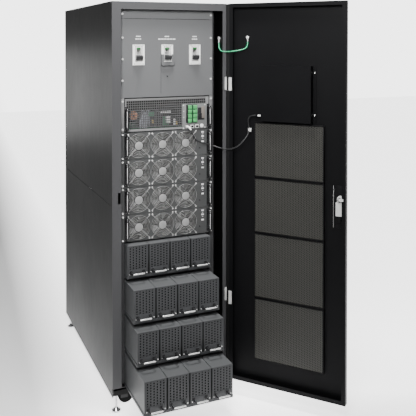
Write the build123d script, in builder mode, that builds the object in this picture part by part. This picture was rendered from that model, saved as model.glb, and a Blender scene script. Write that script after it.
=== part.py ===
from build123d import *
import os
from math import cos, pi, radians, sin, tan

# Modular uninterruptible power supply in a 19-inch rack cabinet, with its front door open
# and its four battery rows drawn out in steps. Millimetres, +Z up, -Y is the front.
# The origin is on the floor, at the centre of the cabinet and of its four levelling feet.

os.makedirs("parts", exist_ok=True)

# ---------------------------------------------------------------- driving dimensions
cabinet_width = 600.0
cabinet_depth = 1100.0
ground_clearance = 80.0        # floor to the underside of the side panels
skin = 2.0                     # side panels, roof and door sheet
plate = 3.0                    # folded frame members and rear panels
beam_height = 40.0
cross_height = 24.0            # low cross members, which row 4 passes over
base_margin = 20.0             # underside of the body to the first rack unit
header_height = 37.0
side_split = 998.0             # height of the joint between upper and lower side panels
left_post_face = 45.0
right_lip = 20.0
right_post_setback = 105.0     # the hinge-side post stands behind a deep cable recess
post_depth = 40.0

rack_unit = 44.45
rack_center = -7.0
rack_opening = 450.0           # clear width between the rack rails
rack_hole_spacing = 465.1
panel_width = 482.6
panel_sheet = 2.0
panel_gap = 1.0                # under and over each faceplate
panel_recess = 30.0            # faceplates behind the cabinet's front plane
rail_depth = 38.0
rail_span = 960.0              # front rail face to rear rail face
breaker_panel_height = 386.0
bypass_height = 168.0
module_units = 3
module_count = 4
battery_units = 4
row_count = 4

chassis_width = 440.0
chassis_wall = 1.5
module_depth = 560.0
bypass_depth = 450.0
fan_size = 119.0
fan_depth = 38.0
fan_pitch = 122.8
fan_offset = -28.0             # middle fan from the rack's centre line
fan_bore = 57.0
hub_radius = 21.0
fan_shaft = 3.0
blade_count = 7
blade_chord = 30.0
blade_pitch = 36.0
guard_wire = 2.0
guard_reach = 74.0
handle_offset = 217.0
handle_span = 103.0
handle_reach = 38.0
handle_radius = 5.5
screw_head = 5.0
screw_shank = 2.5

battery_center = -11.5
packs_per_row = 4
pack_width = 106.5
pack_gap = 3.0
pack_depth = 700.0
pack_wall = 1.2
row_headroom = 8.0
tray_height = 14.0
tray_drop = 12.0               # underside of the tray above its rack unit
row_draw = (40.0, 145.0, 198.0, 300.0)   # how far each row stands out, top row first
bail_span = 62.0
bail_offset = 5.0
bail_reach = 38.0
bail_radius = 4.0
bail_rise = 30.0

breaker_pitch = 148.0
breaker_center = -11.0
breaker_rise = 209.5
escutcheon = (60.0, 100.0)
breaker_body = (90.0, 155.0, 68.0)
toggle_slot = (24.0, 62.0)
toggle_arm = 44.0
toggle_angle = 25.0
toggle_pin = 3.0

door_angle = 130.0
door_gap = 4.0
door_depth = 34.0
door_lip = 20.0
knuckle_radius = 6.0
hinge_pin = 3.0
hinge_height = 66.0
hinge_levels = (494.0, 1574.0)
lock_reach = 571.0             # hinge axis to the lock spindle
lock_level = 1049.0
spindle_radius = 5.0
keeper_half = 7.0
lock_plate = ((537.0, 600.0), (905.0, 1108.0))      # reach and height on the door
lock_box = ((552.0, 582.0), (938.0, 1063.0))
handle_box = ((551.0, 591.0), (895.0, 1105.0))
lever_drop = 117.0
cam_reach = 24.0
door_stud = (96.0, 1808.0)
clip_box = ((100.0, 116.0), (1336.0, 1354.0))
wire_radius = 2.5
cable_radius = 3.0

wheel_radius = 38.0
wheel_width = 26.0
wheel_lift = 2.0               # the feet carry the cabinet, so the wheels clear the floor
caster_trail = 22.0
caster_inset = (67.0, 90.0)
caster_pad = (53.0, 50.0)      # kingpin to the pad's inner edges
fork_collar = 24.0
fork_sheet = 3.0
axle_radius = 4.0
kingpin_radius = 6.0
foot_inset = (26.0, 30.0)
foot_radius = 21.0
stem_radius = 5.0

running = 0.05                 # radial clearance of a shaft in its hole
seat = 0.3                     # clearance between neighbours that slide or swing
lug_radius = 3.5               # crimped barrel of a ground wire's ring terminal
lug_length = 21.0
eyebolt_radius = 5.5
eyebolt_inset = (33.0, 50.0)

# ---------------------------------------------------------------- derived places
left, right = -cabinet_width / 2, cabinet_width / 2
front, back = -cabinet_depth / 2, cabinet_depth / 2
module_pitch = module_units * rack_unit
row_pitch = battery_units * rack_unit
bottom = ground_clearance
rack_bottom = bottom + base_margin
modules_bottom = rack_bottom + row_count * row_pitch
bypass_bottom = modules_bottom + module_count * module_pitch
breaker_bottom = bypass_bottom + bypass_height
blank_bottom = breaker_bottom + breaker_panel_height
header_bottom = blank_bottom + rack_unit
top = header_bottom + header_height

panel_front = front + panel_recess
rail_front = panel_front + panel_sheet
rail_back = rail_front + rail_span
rack_left = rack_center - rack_opening / 2
rack_right = rack_center + rack_opening / 2
ear_reach = panel_width / 2
hole_reach = rack_hole_spacing / 2
frame_left, frame_right = left + skin, right - skin
beam_left = rack_left - 4
beam_right = rack_right + 4
base_top = bottom + 2 + beam_height
frame_top = top - skin
post_top = frame_top - plate
cross_top = bottom + 2 + cross_height
pad_top = cross_top - 6

hinge_x = right + knuckle_radius
hinge_y = front - 28
door_start = 8.0               # hinge axis to the door's near edge
door_width = cabinet_width - 4
door_end = door_start + door_width
door_inner = -(front - door_gap - hinge_y)   # negative: towards the cabinet
door_outer = door_inner + door_depth
door_bottom, door_top = bottom + 2, top - 2
hinge_line = Plane(
    origin=(hinge_x, hinge_y, 0),
    x_dir=(-cos(radians(door_angle)), -sin(radians(door_angle)), 0),
    z_dir=(0, 0, 1),
)


# ---------------------------------------------------------------- helpers
def block(x, y, z, mode=Mode.ADD):
    """A box between two corners, given as (low, high) pairs, in the open BuildPart."""
    centre = ((x[0] + x[1]) / 2, (y[0] + y[1]) / 2, (z[0] + z[1]) / 2)
    with Locations(centre):
        Box(x[1] - x[0], y[1] - y[0], z[1] - z[0], mode=mode)


def rod(radius, x, z, y, mode=Mode.ADD):
    """A cylinder along Y between two depths, in the open BuildPart."""
    with Locations((x, (y[0] + y[1]) / 2, z)):
        Cylinder(radius, y[1] - y[0], rotation=(90, 0, 0), mode=mode)


def post(radius, x, y, z, mode=Mode.ADD):
    """A cylinder along Z between two heights, in the open BuildPart."""
    with Locations((x, y, (z[0] + z[1]) / 2)):
        Cylinder(radius, z[1] - z[0], mode=mode)


def facing(y):
    """The plane at depth y that looks forward: its x is +X and its y is +Z."""
    return Plane(origin=(0, y, 0), x_dir=(1, 0, 0), z_dir=(0, -1, 0))


def folded(*blocks):
    """One folded sheet member made of the given (x, y, z) blocks."""
    with BuildPart() as member:
        for x, y, z in blocks:
            block(x, y, z)
    return member.part


def save(name, *pieces):
    """Write one node, which is a single piece or a group of separate solids."""
    node = pieces[0] if len(pieces) == 1 else Compound(children=list(pieces))
    node.label = name
    export_step(node, f"parts/{name}.step")


def open_box(x, y, z, wall):
    """A sheet box that is open at its front, low-Y, side."""
    with BuildPart() as shell:
        block(x, y, z)
        block(
            (x[0] + wall, x[1] - wall), (y[0], y[1] - wall), (z[0] + wall, z[1] - wall),
            mode=Mode.SUBTRACT,
        )
    return shell.part


def bail(points, radius, corner):
    """A round bar bent along the given points: a handle with two legs."""
    with BuildPart() as bar:
        with BuildLine() as route:
            FilletPolyline(*points, radius=corner)
        with BuildSketch(Plane(origin=points[0], z_dir=route.wire() % 0)):
            Circle(radius)
        sweep()
    return bar.part


def screw(x, z, face):
    """A panel screw at (x, z): its head lies on the given face and its shank goes back."""
    with BuildPart() as fastener:
        rod(screw_head, x, z, (face - 3, face))
        rod(screw_shank, x, z, (face, face + 9))
    return fastener.part


def cabinet_corners(inset_x, inset_y):
    """The four (x, y) places at the given distances inside the footprint's corners."""
    return [
        (x, y)
        for y in (front + inset_y, back - inset_y)
        for x in (left + inset_x, right - inset_x)
    ]


# ---------------------------------------------------------------- levels of the equipment
module_order = range(module_count - 1, -1, -1)
module_levels = [modules_bottom + n * module_pitch for n in module_order]
row_levels = [rack_bottom + (row_count - 1 - n) * row_pitch for n in range(row_count)]
blank_screws = [blank_bottom + rack_unit / 2]
breaker_screws = [breaker_bottom + share * breaker_panel_height for share in (0.22, 0.49, 0.76)]
bypass_screws = [bypass_bottom + 16, bypass_bottom + bypass_height - 16]
module_screws = [level + edge for level in module_levels for edge in (9, module_pitch - 9)]
fixed_screws = blank_screws + breaker_screws + bypass_screws
screw_columns = (rack_center - hole_reach, rack_center + hole_reach)
breaker_level = breaker_bottom + breaker_rise
breaker_columns = [breaker_center + n * breaker_pitch for n in (-1, 0, 1)]

# ---------------------------------------------------------------- cabinet frame
beam_y = (front + plate, back - 2 * plate)
base_left = folded(
    ((frame_left, beam_left), beam_y, (base_top - plate, base_top)),
    ((frame_left, frame_left + plate), beam_y, (bottom + 2, base_top - plate)),
)
base_right = folded(
    ((beam_right, frame_right), beam_y, (base_top - plate, base_top)),
    ((frame_right - plate, frame_right), beam_y, (bottom + 2, base_top - plate)),
)
cross_x = (frame_left + plate, frame_right - plate)
flange_x = (beam_left, beam_right)
front_cross = folded(
    (cross_x, (front + 10, front + 10 + plate), (bottom + 2, cross_top)),
    (flange_x, (front + 10 + plate, front + 50), (cross_top - plate, cross_top)),
)
rear_cross = folded(
    (cross_x, (back - 10 - plate, back - 10), (bottom + 2, cross_top)),
    (flange_x, (back - 50, back - 10 - plate), (cross_top - plate, cross_top)),
)

corner_pads = []
for (caster_x, caster_y), (foot_x, foot_y) in zip(
    cabinet_corners(*caster_inset), cabinet_corners(*foot_inset)
):
    side, end = (1 if caster_x > 0 else -1), (1 if caster_y > 0 else -1)
    pad_x = sorted((side * (right - skin - plate), caster_x - side * caster_pad[0]))
    pad_y = sorted((end * (back - 10 - plate), caster_y - end * caster_pad[1]))
    with BuildPart() as pad:
        block(pad_x, pad_y, (pad_top - plate, pad_top))
        pad_z = (pad_top - plate, pad_top)
        post(kingpin_radius + running, caster_x, caster_y, pad_z, Mode.SUBTRACT)
        post(stem_radius + seat, foot_x, foot_y, pad_z, Mode.SUBTRACT)
    corner_pads.append(pad.part)

with BuildPart() as front_left_post:
    block((left, left + left_post_face), (front, front + plate), (base_top, frame_top))
    block(
        (left + left_post_face - plate, left + left_post_face),
        (front + plate, front + post_depth), (base_top, post_top),
    )
    keeper_x = hinge_x - lock_reach
    block(
        (keeper_x - keeper_half, keeper_x + keeper_half), (front, front + plate),
        (lock_level - 42, lock_level + 14), mode=Mode.SUBTRACT,
    )

recess_back = front + right_post_setback
flange_cuts = [level + end * (hinge_height / 2 + 1) for level in hinge_levels for end in (-1, 1)]
flange_ends = [base_top, *flange_cuts, frame_top]
flange_spans = list(zip(flange_ends[::2], flange_ends[1::2]))
front_right_post = folded(
    ((right - right_lip, right), (front, front + plate), (base_top, frame_top)),
    *[((right - 1.5, right + 1), (hinge_y, front), z) for z in flange_spans],
    (
        (right - right_lip, right - right_lip + plate), (front + plate, recess_back),
        (base_top, post_top),
    ),
    (
        (right - 50, right - right_lip), (recess_back - plate, recess_back),
        (base_top, post_top),
    ),
)
rear_face = (back - 2 * plate, back - plate)
rear_web = (back - plate - post_depth, back - 2 * plate)
rear_left_post = folded(
    ((frame_left, left + left_post_face), rear_face, (base_top, frame_top)),
    ((left + left_post_face - plate, left + left_post_face), rear_web, (base_top, post_top)),
)
rear_right_post = folded(
    ((right - left_post_face, frame_right), rear_face, (base_top, frame_top)),
    ((right - left_post_face, right - left_post_face + plate), rear_web, (base_top, post_top)),
)

top_left = folded(
    ((frame_left, beam_left), beam_y, (post_top, frame_top)),
    ((frame_left, frame_left + plate), beam_y, (post_top - beam_height + plate, post_top)),
)
top_right = folded(
    ((beam_right, frame_right), beam_y, (post_top, frame_top)),
    ((frame_right - plate, frame_right), beam_y, (post_top - beam_height + plate, post_top)),
)
header = folded(
    ((left + left_post_face, right - right_lip), (front, front + plate), (header_bottom, frame_top)),
    (flange_x, (front + plate, front + 43), (post_top, frame_top)),
)
rear_header = folded(
    ((left + left_post_face, right - left_post_face), rear_face, (header_bottom, frame_top)),
    (flange_x, (back - 46, back - 2 * plate), (post_top, frame_top)),
)


def with_eyebolt_holes(beam):
    """The top beam or roof with the holes of the four lifting eyebolts."""
    with BuildPart() as drilled:
        add(beam)
        for x, y in cabinet_corners(*eyebolt_inset):
            post(eyebolt_radius, x, y, (post_top - 1, top + 1), Mode.SUBTRACT)
    return drilled.part


save(
    "cabinet_frame", base_left, base_right, front_cross, rear_cross, *corner_pads,
    front_left_post.part, front_right_post, rear_left_post, rear_right_post,
    with_eyebolt_holes(top_left), with_eyebolt_holes(top_right), header, rear_header,
)

# ---------------------------------------------------------------- skins
cable_entry = (260.0, 60.0)
cable_entry_y = back - 120
with BuildPart() as roof_sheet:
    block((left, right), (front, back), (frame_top, top))
    block(
        (-cable_entry[0] / 2, cable_entry[0] / 2),
        (cable_entry_y - cable_entry[1] / 2, cable_entry_y + cable_entry[1] / 2),
        (frame_top, top), mode=Mode.SUBTRACT,
    )
save("roof_panel", with_eyebolt_holes(roof_sheet.part))

side_y = (front + plate, back)
lower_z, upper_z = (bottom, side_split - 1), (side_split + 1, frame_top)
side_sheets = [
    folded((x, side_y, z))
    for x in ((left, frame_left), (frame_right, right))
    for z in (lower_z, upper_z)
]
save("side_panels", *side_sheets)


def rear_panel(z):
    """A rear panel with two columns of ventilation slots."""
    with BuildPart() as panel:
        block((frame_left, frame_right), (back - plate, back), z)
        with BuildSketch(facing(back).shift_origin((0, back, (z[0] + z[1]) / 2))):
            with GridLocations(230, 90, 2, 8):
                SlotOverall(180, 12)
        extrude(amount=plate, mode=Mode.SUBTRACT)
    return panel.part


save("rear_panels", rear_panel(lower_z), rear_panel(upper_z))

# ---------------------------------------------------------------- rack rails
rail_z = (base_top, post_top)


def rack_rail(edge, side, face, way):
    """An angle rail. Its flange starts at edge and grows to side; its web runs way from face."""
    flange = sorted((edge, edge + side * (ear_reach - rack_opening / 2 + 6.7)))
    web_x = sorted((edge, edge + side * panel_sheet))
    with BuildPart() as rail:
        block(flange, sorted((face, face + way * panel_sheet)), rail_z)
        block(web_x, sorted((face + way * panel_sheet, face + way * rail_depth)), rail_z)
        if way > 0:
            for level in fixed_screws + module_screws:
                rod(
                    screw_shank + running, edge + side * (hole_reach - rack_opening / 2), level,
                    (face - 1, face + panel_sheet + 1), Mode.SUBTRACT,
                )
    return rail.part


save(
    "rack_rails",
    rack_rail(rack_left, -1, rail_front, 1), rack_rail(rack_right, 1, rail_front, 1),
    rack_rail(rack_left, -1, rail_back, -1), rack_rail(rack_right, 1, rail_back, -1),
)

# ---------------------------------------------------------------- runners and shelves
runner_y = (rail_front + panel_sheet, rail_back - panel_sheet)
runner_foot = 24.0
shelf_drop = 6.0
shelf_sheet = 2.0


def runner(edge, side, level):
    """An angle runner that carries one side of a module between the front and rear rails."""
    wall_x = sorted((edge, edge - side * shelf_sheet))
    foot_x = sorted((edge - side * shelf_sheet, edge - side * runner_foot))
    return folded((wall_x, runner_y, (level, level + 30)), (foot_x, runner_y, (level, level + 1.5)))


battery_row_width = packs_per_row * pack_width + (packs_per_row - 1) * pack_gap
row_left = battery_center - battery_row_width / 2
row_right = battery_center + battery_row_width / 2
tray_left, tray_right = row_left - 2, row_right + 2


def shelf(level):
    """A battery shelf with two glide strips under the tray's side flanges."""
    floor_z = (level + shelf_drop, level + shelf_drop + shelf_sheet)
    glide_z = (floor_z[1], level + tray_drop - seat)
    return folded(
        ((rack_left, rack_right), runner_y, floor_z),
        ((tray_left, tray_left + 16), runner_y, glide_z),
        ((tray_right - 16, tray_right), runner_y, glide_z),
    )


runners = [
    runner(edge, side, level)
    for level in [bypass_bottom] + module_levels
    for edge, side in ((rack_left, -1), (rack_right, 1))
]
save("module_shelves", *runners, *[shelf(level) for level in row_levels])

# ---------------------------------------------------------------- blank and breaker panels
ear_x = (rack_center - ear_reach, rack_center + ear_reach)
panel_y = (panel_front, rail_front)


def faceplate(z, levels):
    """A 19-inch faceplate with its screw holes at the given levels."""
    with BuildPart() as panel:
        block(ear_x, panel_y, z)
        for x in screw_columns:
            for level in levels:
                rod(screw_shank + 0.8, x, level, (panel_front - 1, rail_front + 1), Mode.SUBTRACT)
    return panel.part


with BuildPart() as breaker_panel:
    add(faceplate((breaker_bottom + panel_gap, blank_bottom - panel_gap), breaker_screws))
    for x in breaker_columns:
        block(
            (x - escutcheon[0] / 2 - seat, x + escutcheon[0] / 2 + seat), panel_y,
            (breaker_level - escutcheon[1] / 2 - seat, breaker_level + escutcheon[1] / 2 + seat),
            mode=Mode.SUBTRACT,
        )

guard_wall = 1.5
guard_notch = 21.0             # half the width of the opening for the toggle
guard_depth = 12.0
guard_x = breaker_columns[1] - escutcheon[0] / 2 - 2, breaker_columns[1] + escutcheon[0] / 2 + 2
guard_z = breaker_level - escutcheon[1] / 2 - 3, breaker_level + 2
with BuildPart() as bypass_guard:
    block(guard_x, (panel_front - guard_depth, panel_front), guard_z)
    block(
        (guard_x[0] + guard_wall, guard_x[1] - guard_wall),
        (panel_front - guard_depth + guard_wall, panel_front),
        (guard_z[0] + guard_wall, guard_z[1]), mode=Mode.SUBTRACT,
    )
    block(
        (breaker_columns[1] - guard_notch, breaker_columns[1] + guard_notch),
        (panel_front - guard_depth, panel_front), (breaker_level - 34, guard_z[1]),
        mode=Mode.SUBTRACT,
    )

save(
    "front_panels",
    faceplate((blank_bottom + panel_gap, header_bottom - panel_gap), blank_screws),
    breaker_panel.part, bypass_guard.part,
)

# ---------------------------------------------------------------- circuit breakers
toggle_level = breaker_level + 5
escutcheon_front = panel_front - 5
toggle_axis_y = escutcheon_front + 27


def breaker(x):
    """A moulded-case breaker: body behind the panel, raised front with the toggle's slot."""
    with BuildPart() as case:
        block(
            (x - breaker_body[0] / 2, x + breaker_body[0] / 2),
            (rail_front, rail_front + breaker_body[2]),
            (breaker_level - breaker_body[1] / 2, breaker_level + breaker_body[1] / 2),
        )
        block(
            (x - escutcheon[0] / 2, x + escutcheon[0] / 2), (escutcheon_front, rail_front),
            (breaker_level - escutcheon[1] / 2, breaker_level + escutcheon[1] / 2),
        )
        block(
            (x - toggle_slot[0] / 2, x + toggle_slot[0] / 2), (escutcheon_front, toggle_axis_y + 12),
            (toggle_level - toggle_slot[1] / 2, toggle_level + toggle_slot[1] / 2), mode=Mode.SUBTRACT,
        )
        with Locations((x, toggle_axis_y, toggle_level)):
            Cylinder(
                toggle_pin + running, toggle_slot[0] + 8, rotation=(0, 90, 0), mode=Mode.SUBTRACT
            )
    return case.part


def toggle(x):
    """A breaker's toggle, down: its hub turns on a pin across the slot."""
    swung = Plane(
        origin=(x, toggle_axis_y, toggle_level), x_dir=(1, 0, 0),
        z_dir=(0, -cos(radians(toggle_angle)), -sin(radians(toggle_angle))),
    )
    with BuildPart(swung) as lever:
        Cylinder(9, toggle_slot[0] - 6, rotation=(0, 90, 0))
        Cylinder(toggle_pin, toggle_slot[0] + 6, rotation=(0, 90, 0))
        block((-9, 9), (-5, 5), (0, toggle_arm))
        block((-17, 17), (-11, 11), (toggle_arm - 7, toggle_arm + 5))
        along = Axis(swung.origin, swung.z_dir)
        fillet(lever.edges().filter_by(GeomType.LINE).group_by(along)[-1], 2)
    return lever.part


save("circuit_breakers", *[breaker(x) for x in breaker_columns])
for name, x in zip(("input_lever", "bypass_lever", "output_lever"), breaker_columns):
    save(name, toggle(x))


# ---------------------------------------------------------------- module handles
def module_handles(level, height):
    """The two upright bail handles of a module whose faceplate has this level and height."""
    low, high = level + height / 2 - handle_span / 2, level + height / 2 + handle_span / 2
    reach = panel_front - handle_reach + handle_radius
    handles = []
    for x in (rack_center - handle_offset, rack_center + handle_offset):
        handles.append(
            bail(
                [(x, panel_front, low), (x, reach, low), (x, reach, high), (x, panel_front, high)],
                handle_radius, 11,
            )
        )
    return handles


# ---------------------------------------------------------------- bypass and communication
chassis_x = (rack_center - chassis_width / 2, rack_center + chassis_width / 2)
module_floor = 1.5 + seat      # the runner's foot and its clearance


def chassis(level, height, depth):
    """A module's sheet box, open behind its faceplate."""
    return open_box(
        chassis_x, (rail_front, rail_front + depth),
        (level + module_floor, level + height - panel_gap), chassis_wall,
    )


window_margin = (6.0, 16.0, 14.0)     # left, right, and top and bottom of the mesh window
window_x = (chassis_x[0] + window_margin[0], chassis_x[1] - window_margin[1])
window_z = (bypass_bottom + window_margin[2], breaker_bottom - window_margin[2])
with BuildPart() as bypass_face:
    add(faceplate((bypass_bottom + panel_gap, breaker_bottom - panel_gap), bypass_screws))
    block(window_x, panel_y, window_z, mode=Mode.SUBTRACT)
with BuildPart() as bypass_mesh:
    block(
        (window_x[0] + seat, window_x[1] - seat), panel_y,
        (window_z[0] + seat, window_z[1] - seat),
    )

bypass_floor = bypass_bottom + module_floor + chassis_wall
board_top = bypass_floor + 8
coil_radius = 38.0
coil_width = 34.0
capacitor_radius = 18.0
capacitor_height = 78.0
heatsink_height = 90.0
with BuildPart() as bypass_board:
    block(
        (chassis_x[0] + 10, chassis_x[1] - 10), (rail_front + 60, rail_front + 330),
        (bypass_floor, board_top),
    )
with BuildPart() as bypass_coil:
    with Locations((chassis_x[0] + 62, rail_front + 95, board_top + coil_radius)):
        Cylinder(coil_radius, coil_width, rotation=(0, 90, 0))
        Cylinder(coil_radius - 22, coil_width, rotation=(0, 90, 0), mode=Mode.SUBTRACT)
with BuildPart() as bypass_capacitors:
    with BuildSketch(Plane.XY.offset(board_top)):
        with Locations((rack_center - 60, rail_front + 110)):
            with GridLocations(2 * capacitor_radius + 8, 2 * capacitor_radius + 14, 3, 2):
                Circle(capacitor_radius)
    extrude(amount=capacitor_height)
with BuildPart() as bypass_heatsink:
    block(
        (rack_center + 40, chassis_x[1] - 20), (rail_front + 100, rail_front + 300),
        (board_top, board_top + heatsink_height),
    )
save(
    "bypass_chassis", chassis(bypass_bottom, bypass_height, bypass_depth), bypass_face.part,
    bypass_mesh.part, bypass_board.part, bypass_coil.part, bypass_capacitors.part,
    bypass_heatsink.part, *module_handles(bypass_bottom, bypass_height),
)

comm_size = (129.0, 126.0)
comm_left = rack_center + 76
comm_bottom = bypass_bottom + 2.4
comm_sheet = 3.0
comm_front = panel_front - comm_sheet
terminal_size = (25.0, 20.0, 12.0)
terminal_pitch = (27.5, 22.3)
port_level = comm_bottom + 13
plug_x = comm_left + 24
with BuildPart() as comm_plate:
    block(
        (comm_left, comm_left + comm_size[0]), (comm_front, panel_front),
        (comm_bottom, comm_bottom + comm_size[1]),
    )
with BuildPart() as terminals:
    with BuildSketch(facing(comm_front)):
        with Locations((comm_left + 51, comm_bottom + 77)):
            with GridLocations(*terminal_pitch, 2, 4):
                Rectangle(terminal_size[0], terminal_size[1])
    extrude(amount=terminal_size[2])
with BuildPart() as card_slot:
    block(
        (comm_left + 84, comm_left + 120), (comm_front - 6, comm_front),
        (comm_bottom + 44, comm_bottom + 106),
    )
with BuildPart() as ports:
    with BuildSketch(facing(comm_front)):
        with Locations((comm_left + 52, port_level), (comm_left + 78, port_level)):
            Rectangle(18, 15)
        with Locations((comm_left + 105, port_level + 2)):
            Circle(9)
    extrude(amount=5)
with BuildPart() as comm_plug:
    block((plug_x - 6, plug_x + 6), (comm_front - 20, comm_front), (port_level - 5, port_level + 5))
save("comm_panel", comm_plate.part, terminals.part, card_slot.part, ports.part, comm_plug.part)

# ---------------------------------------------------------------- power modules
fan_columns = [rack_center + fan_offset + n * fan_pitch for n in (-1, 0, 1)]
fan_back = rail_front + fan_depth
spider = 4.0


def fan_frame(x, z):
    """A square fan housing with a spider and bearing boss at its back."""
    with BuildPart() as housing:
        block(
            (x - fan_size / 2, x + fan_size / 2), (rail_front, fan_back),
            (z - fan_size / 2, z + fan_size / 2),
        )
        rod(fan_bore, x, z, (rail_front, fan_back), Mode.SUBTRACT)
        block((x - fan_bore - 1, x + fan_bore + 1), (fan_back - spider, fan_back), (z - 3, z + 3))
        block((x - 3, x + 3), (fan_back - spider, fan_back), (z - fan_bore - 1, z + fan_bore + 1))
        rod(hub_radius, x, z, (fan_back - spider, fan_back))
        rod(fan_shaft + running, x, z, (fan_back - spider, fan_back), Mode.SUBTRACT)
    return housing.part


def fan_rotor(x, z):
    """A fan's hub, shaft and pitched blades."""
    hub_y = (rail_front + 2, fan_back - spider - seat)
    with BuildPart() as rotor:
        rod(hub_radius - 1, x, z, hub_y)
        rod(fan_shaft, x, z, (hub_y[1], fan_back))
        blade_y = (hub_y[0] + hub_y[1]) / 2
        with Locations(facing(blade_y).shift_origin((x, blade_y, z))):
            with PolarLocations((hub_radius + fan_bore) / 2 - 2.5, blade_count):
                Box(fan_bore - hub_radius, blade_chord, 2.4, rotation=(blade_pitch, 0, 0))
    return rotor.part


def finger_guard(x, z):
    """A fan's round guard: hub disc, three rings and four diagonal spokes, on the faceplate."""
    with BuildPart() as guard:
        with BuildSketch(facing(panel_front)):
            with Locations((x, z)):
                Circle(hub_radius)
                for turn in (45, 135):
                    Rectangle(2 * guard_reach, 3, rotation=turn)
        extrude(amount=guard_wire)
        for radius in (33, 45, fan_bore):
            with BuildSketch(facing(panel_front)):
                with Locations((x, z)):
                    Circle(radius + guard_wire / 2)
                    Circle(radius - guard_wire / 2, mode=Mode.SUBTRACT)
            extrude(amount=guard_wire)
    return guard.part


for number, level in enumerate(module_levels, start=1):
    fan_level = level + module_pitch / 2
    inside_z = (level + module_floor + chassis_wall, level + module_pitch - panel_gap - chassis_wall)
    with BuildPart() as power_board:
        block(
            (chassis_x[0] + 8, chassis_x[1] - 8), (fan_back + 20, rail_front + module_depth - 30),
            (inside_z[0], inside_z[0] + 6),
        )
    with BuildPart() as heatsink:
        block(
            (chassis_x[0] + 30, chassis_x[1] - 30), (fan_back + 60, rail_front + module_depth - 120),
            (inside_z[0] + 6, inside_z[1] - 20),
        )
    save(
        f"power_module_{number}_chassis", chassis(level, module_pitch, module_depth),
        *[fan_frame(x, fan_level) for x in fan_columns], power_board.part, heatsink.part,
    )

    levels = [level + 9, level + module_pitch - 9]
    with BuildPart() as module_face:
        add(faceplate((level + panel_gap, level + module_pitch - panel_gap), levels))
        for x in fan_columns:
            rod(fan_bore - 2, x, fan_level, (panel_front - 1, rail_front + 1), Mode.SUBTRACT)
    save(
        f"power_module_{number}_front", module_face.part,
        *[finger_guard(x, fan_level) for x in fan_columns],
        *module_handles(level, module_pitch),
        *[screw(x, z, panel_front) for x in screw_columns for z in levels],
    )
    for letter, x in zip("abc", fan_columns):
        save(f"power_module_{number}_fan_{letter}", fan_rotor(x, fan_level))

# ---------------------------------------------------------------- battery rows
for number, (level, draw) in enumerate(zip(row_levels, row_draw), start=1):
    row_front = panel_front - draw
    tray_z = (level + tray_drop, level + tray_drop + tray_height)
    pack_z = (tray_z[1], level + row_pitch - row_headroom)
    pack_columns = [row_left + n * (pack_width + pack_gap) for n in range(packs_per_row)]
    cases, cells, fronts, bails = [], [], [], []
    for x in pack_columns:
        pack_x = (x, x + pack_width)
        cases.append(open_box(pack_x, (row_front, row_front + pack_depth), pack_z, pack_wall))
        with BuildPart() as cell_block:
            block(
                (x + pack_wall + 1, x + pack_width - pack_wall - 1),
                (row_front + 12, row_front + pack_depth - 12),
                (pack_z[0] + pack_wall, pack_z[1] - pack_wall - 4),
            )
        cells.append(cell_block.part)
        front_z = (pack_z[0] + seat, pack_z[1])
        fronts.append(folded((pack_x, (row_front - panel_sheet, row_front), front_z)))
        bail_center = x + pack_width / 2 - bail_offset
        bail_x = (bail_center - bail_span / 2, bail_center + bail_span / 2)
        bail_z = tray_z[0] + bail_rise
        bail_y = (row_front - panel_sheet, row_front - panel_sheet - bail_reach + bail_radius)
        bails.append(
            bail(
                [
                    (bail_x[0], bail_y[0], bail_z), (bail_x[0], bail_y[1], bail_z),
                    (bail_x[1], bail_y[1], bail_z), (bail_x[1], bail_y[0], bail_z),
                ],
                bail_radius, 8,
            )
        )
    tray_y = (row_front - panel_sheet, row_front + pack_depth)
    tray = folded(
        ((tray_left, tray_right), tray_y, (tray_z[1] - 2, tray_z[1])),
        ((tray_left, tray_right), (tray_y[0], tray_y[0] + 2), tray_z),
        ((tray_left, tray_left + 2), tray_y, tray_z),
        ((tray_right - 2, tray_right), tray_y, tray_z),
    )
    save(f"battery_cases_{number}", *cases, *cells)
    save(f"battery_fronts_{number}", tray, *fronts, *bails)

# ---------------------------------------------------------------- hinges
hinge_half = hinge_height / 2


def frame_hinge(level):
    """The cabinet's half of a lift-off hinge: plate, arm, lower knuckle and pin."""
    with BuildPart() as leaf:
        block((right - 9, hinge_x), (front - 3, front), (level - hinge_half, level + hinge_half))
        block((hinge_x - 5, hinge_x), (hinge_y + 3, front - 3), (level - hinge_half, level - seat))
        post(knuckle_radius, hinge_x, hinge_y, (level - hinge_half, level - seat))
        post(hinge_pin, hinge_x, hinge_y, (level - hinge_half, level + hinge_half - 3))
    return leaf.part


def door_hinge(level):
    """The door's half of a lift-off hinge: leaf on the door's edge and upper knuckle."""
    z = (level, level + hinge_half)
    with BuildPart(hinge_line) as leaf:
        full_z = (level - hinge_half, level + hinge_half)
        block((door_start - 2, door_start), (door_inner - 2.5, 6), full_z)
        block((door_start, door_start + 14), (door_inner - 2.5, door_inner), full_z)
        block((0, door_start - 1), (-2.5, 2.5), z)
        post(knuckle_radius, 0, 0, z)
        post(hinge_pin + running, 0, 0, z, Mode.SUBTRACT)
    return leaf.part


save("frame_hinges", *[frame_hinge(level) for level in hinge_levels])
save("door_hinge_leaves", *[door_hinge(level) for level in hinge_levels])

# ---------------------------------------------------------------- door
vent_reach = (137.0, 495.0)
vent_levels = (198.0, 510.0, 835.0, 1112.0, 1389.0)
vent_depth = 16.0
vent_border = 14.0
vent_spans = [(low + 1.5, high - 1.5) for low, high in zip(vent_levels, vent_levels[1:])]
door_skin = (door_outer - skin, door_outer)
screen_reach = (212.0, 402.0)
screen_levels = (1470.0, 1600.0)
box_reach = (180.0, 436.0)
box_levels = (1396.0, 1670.0)
box_inner = door_inner - 6

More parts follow.
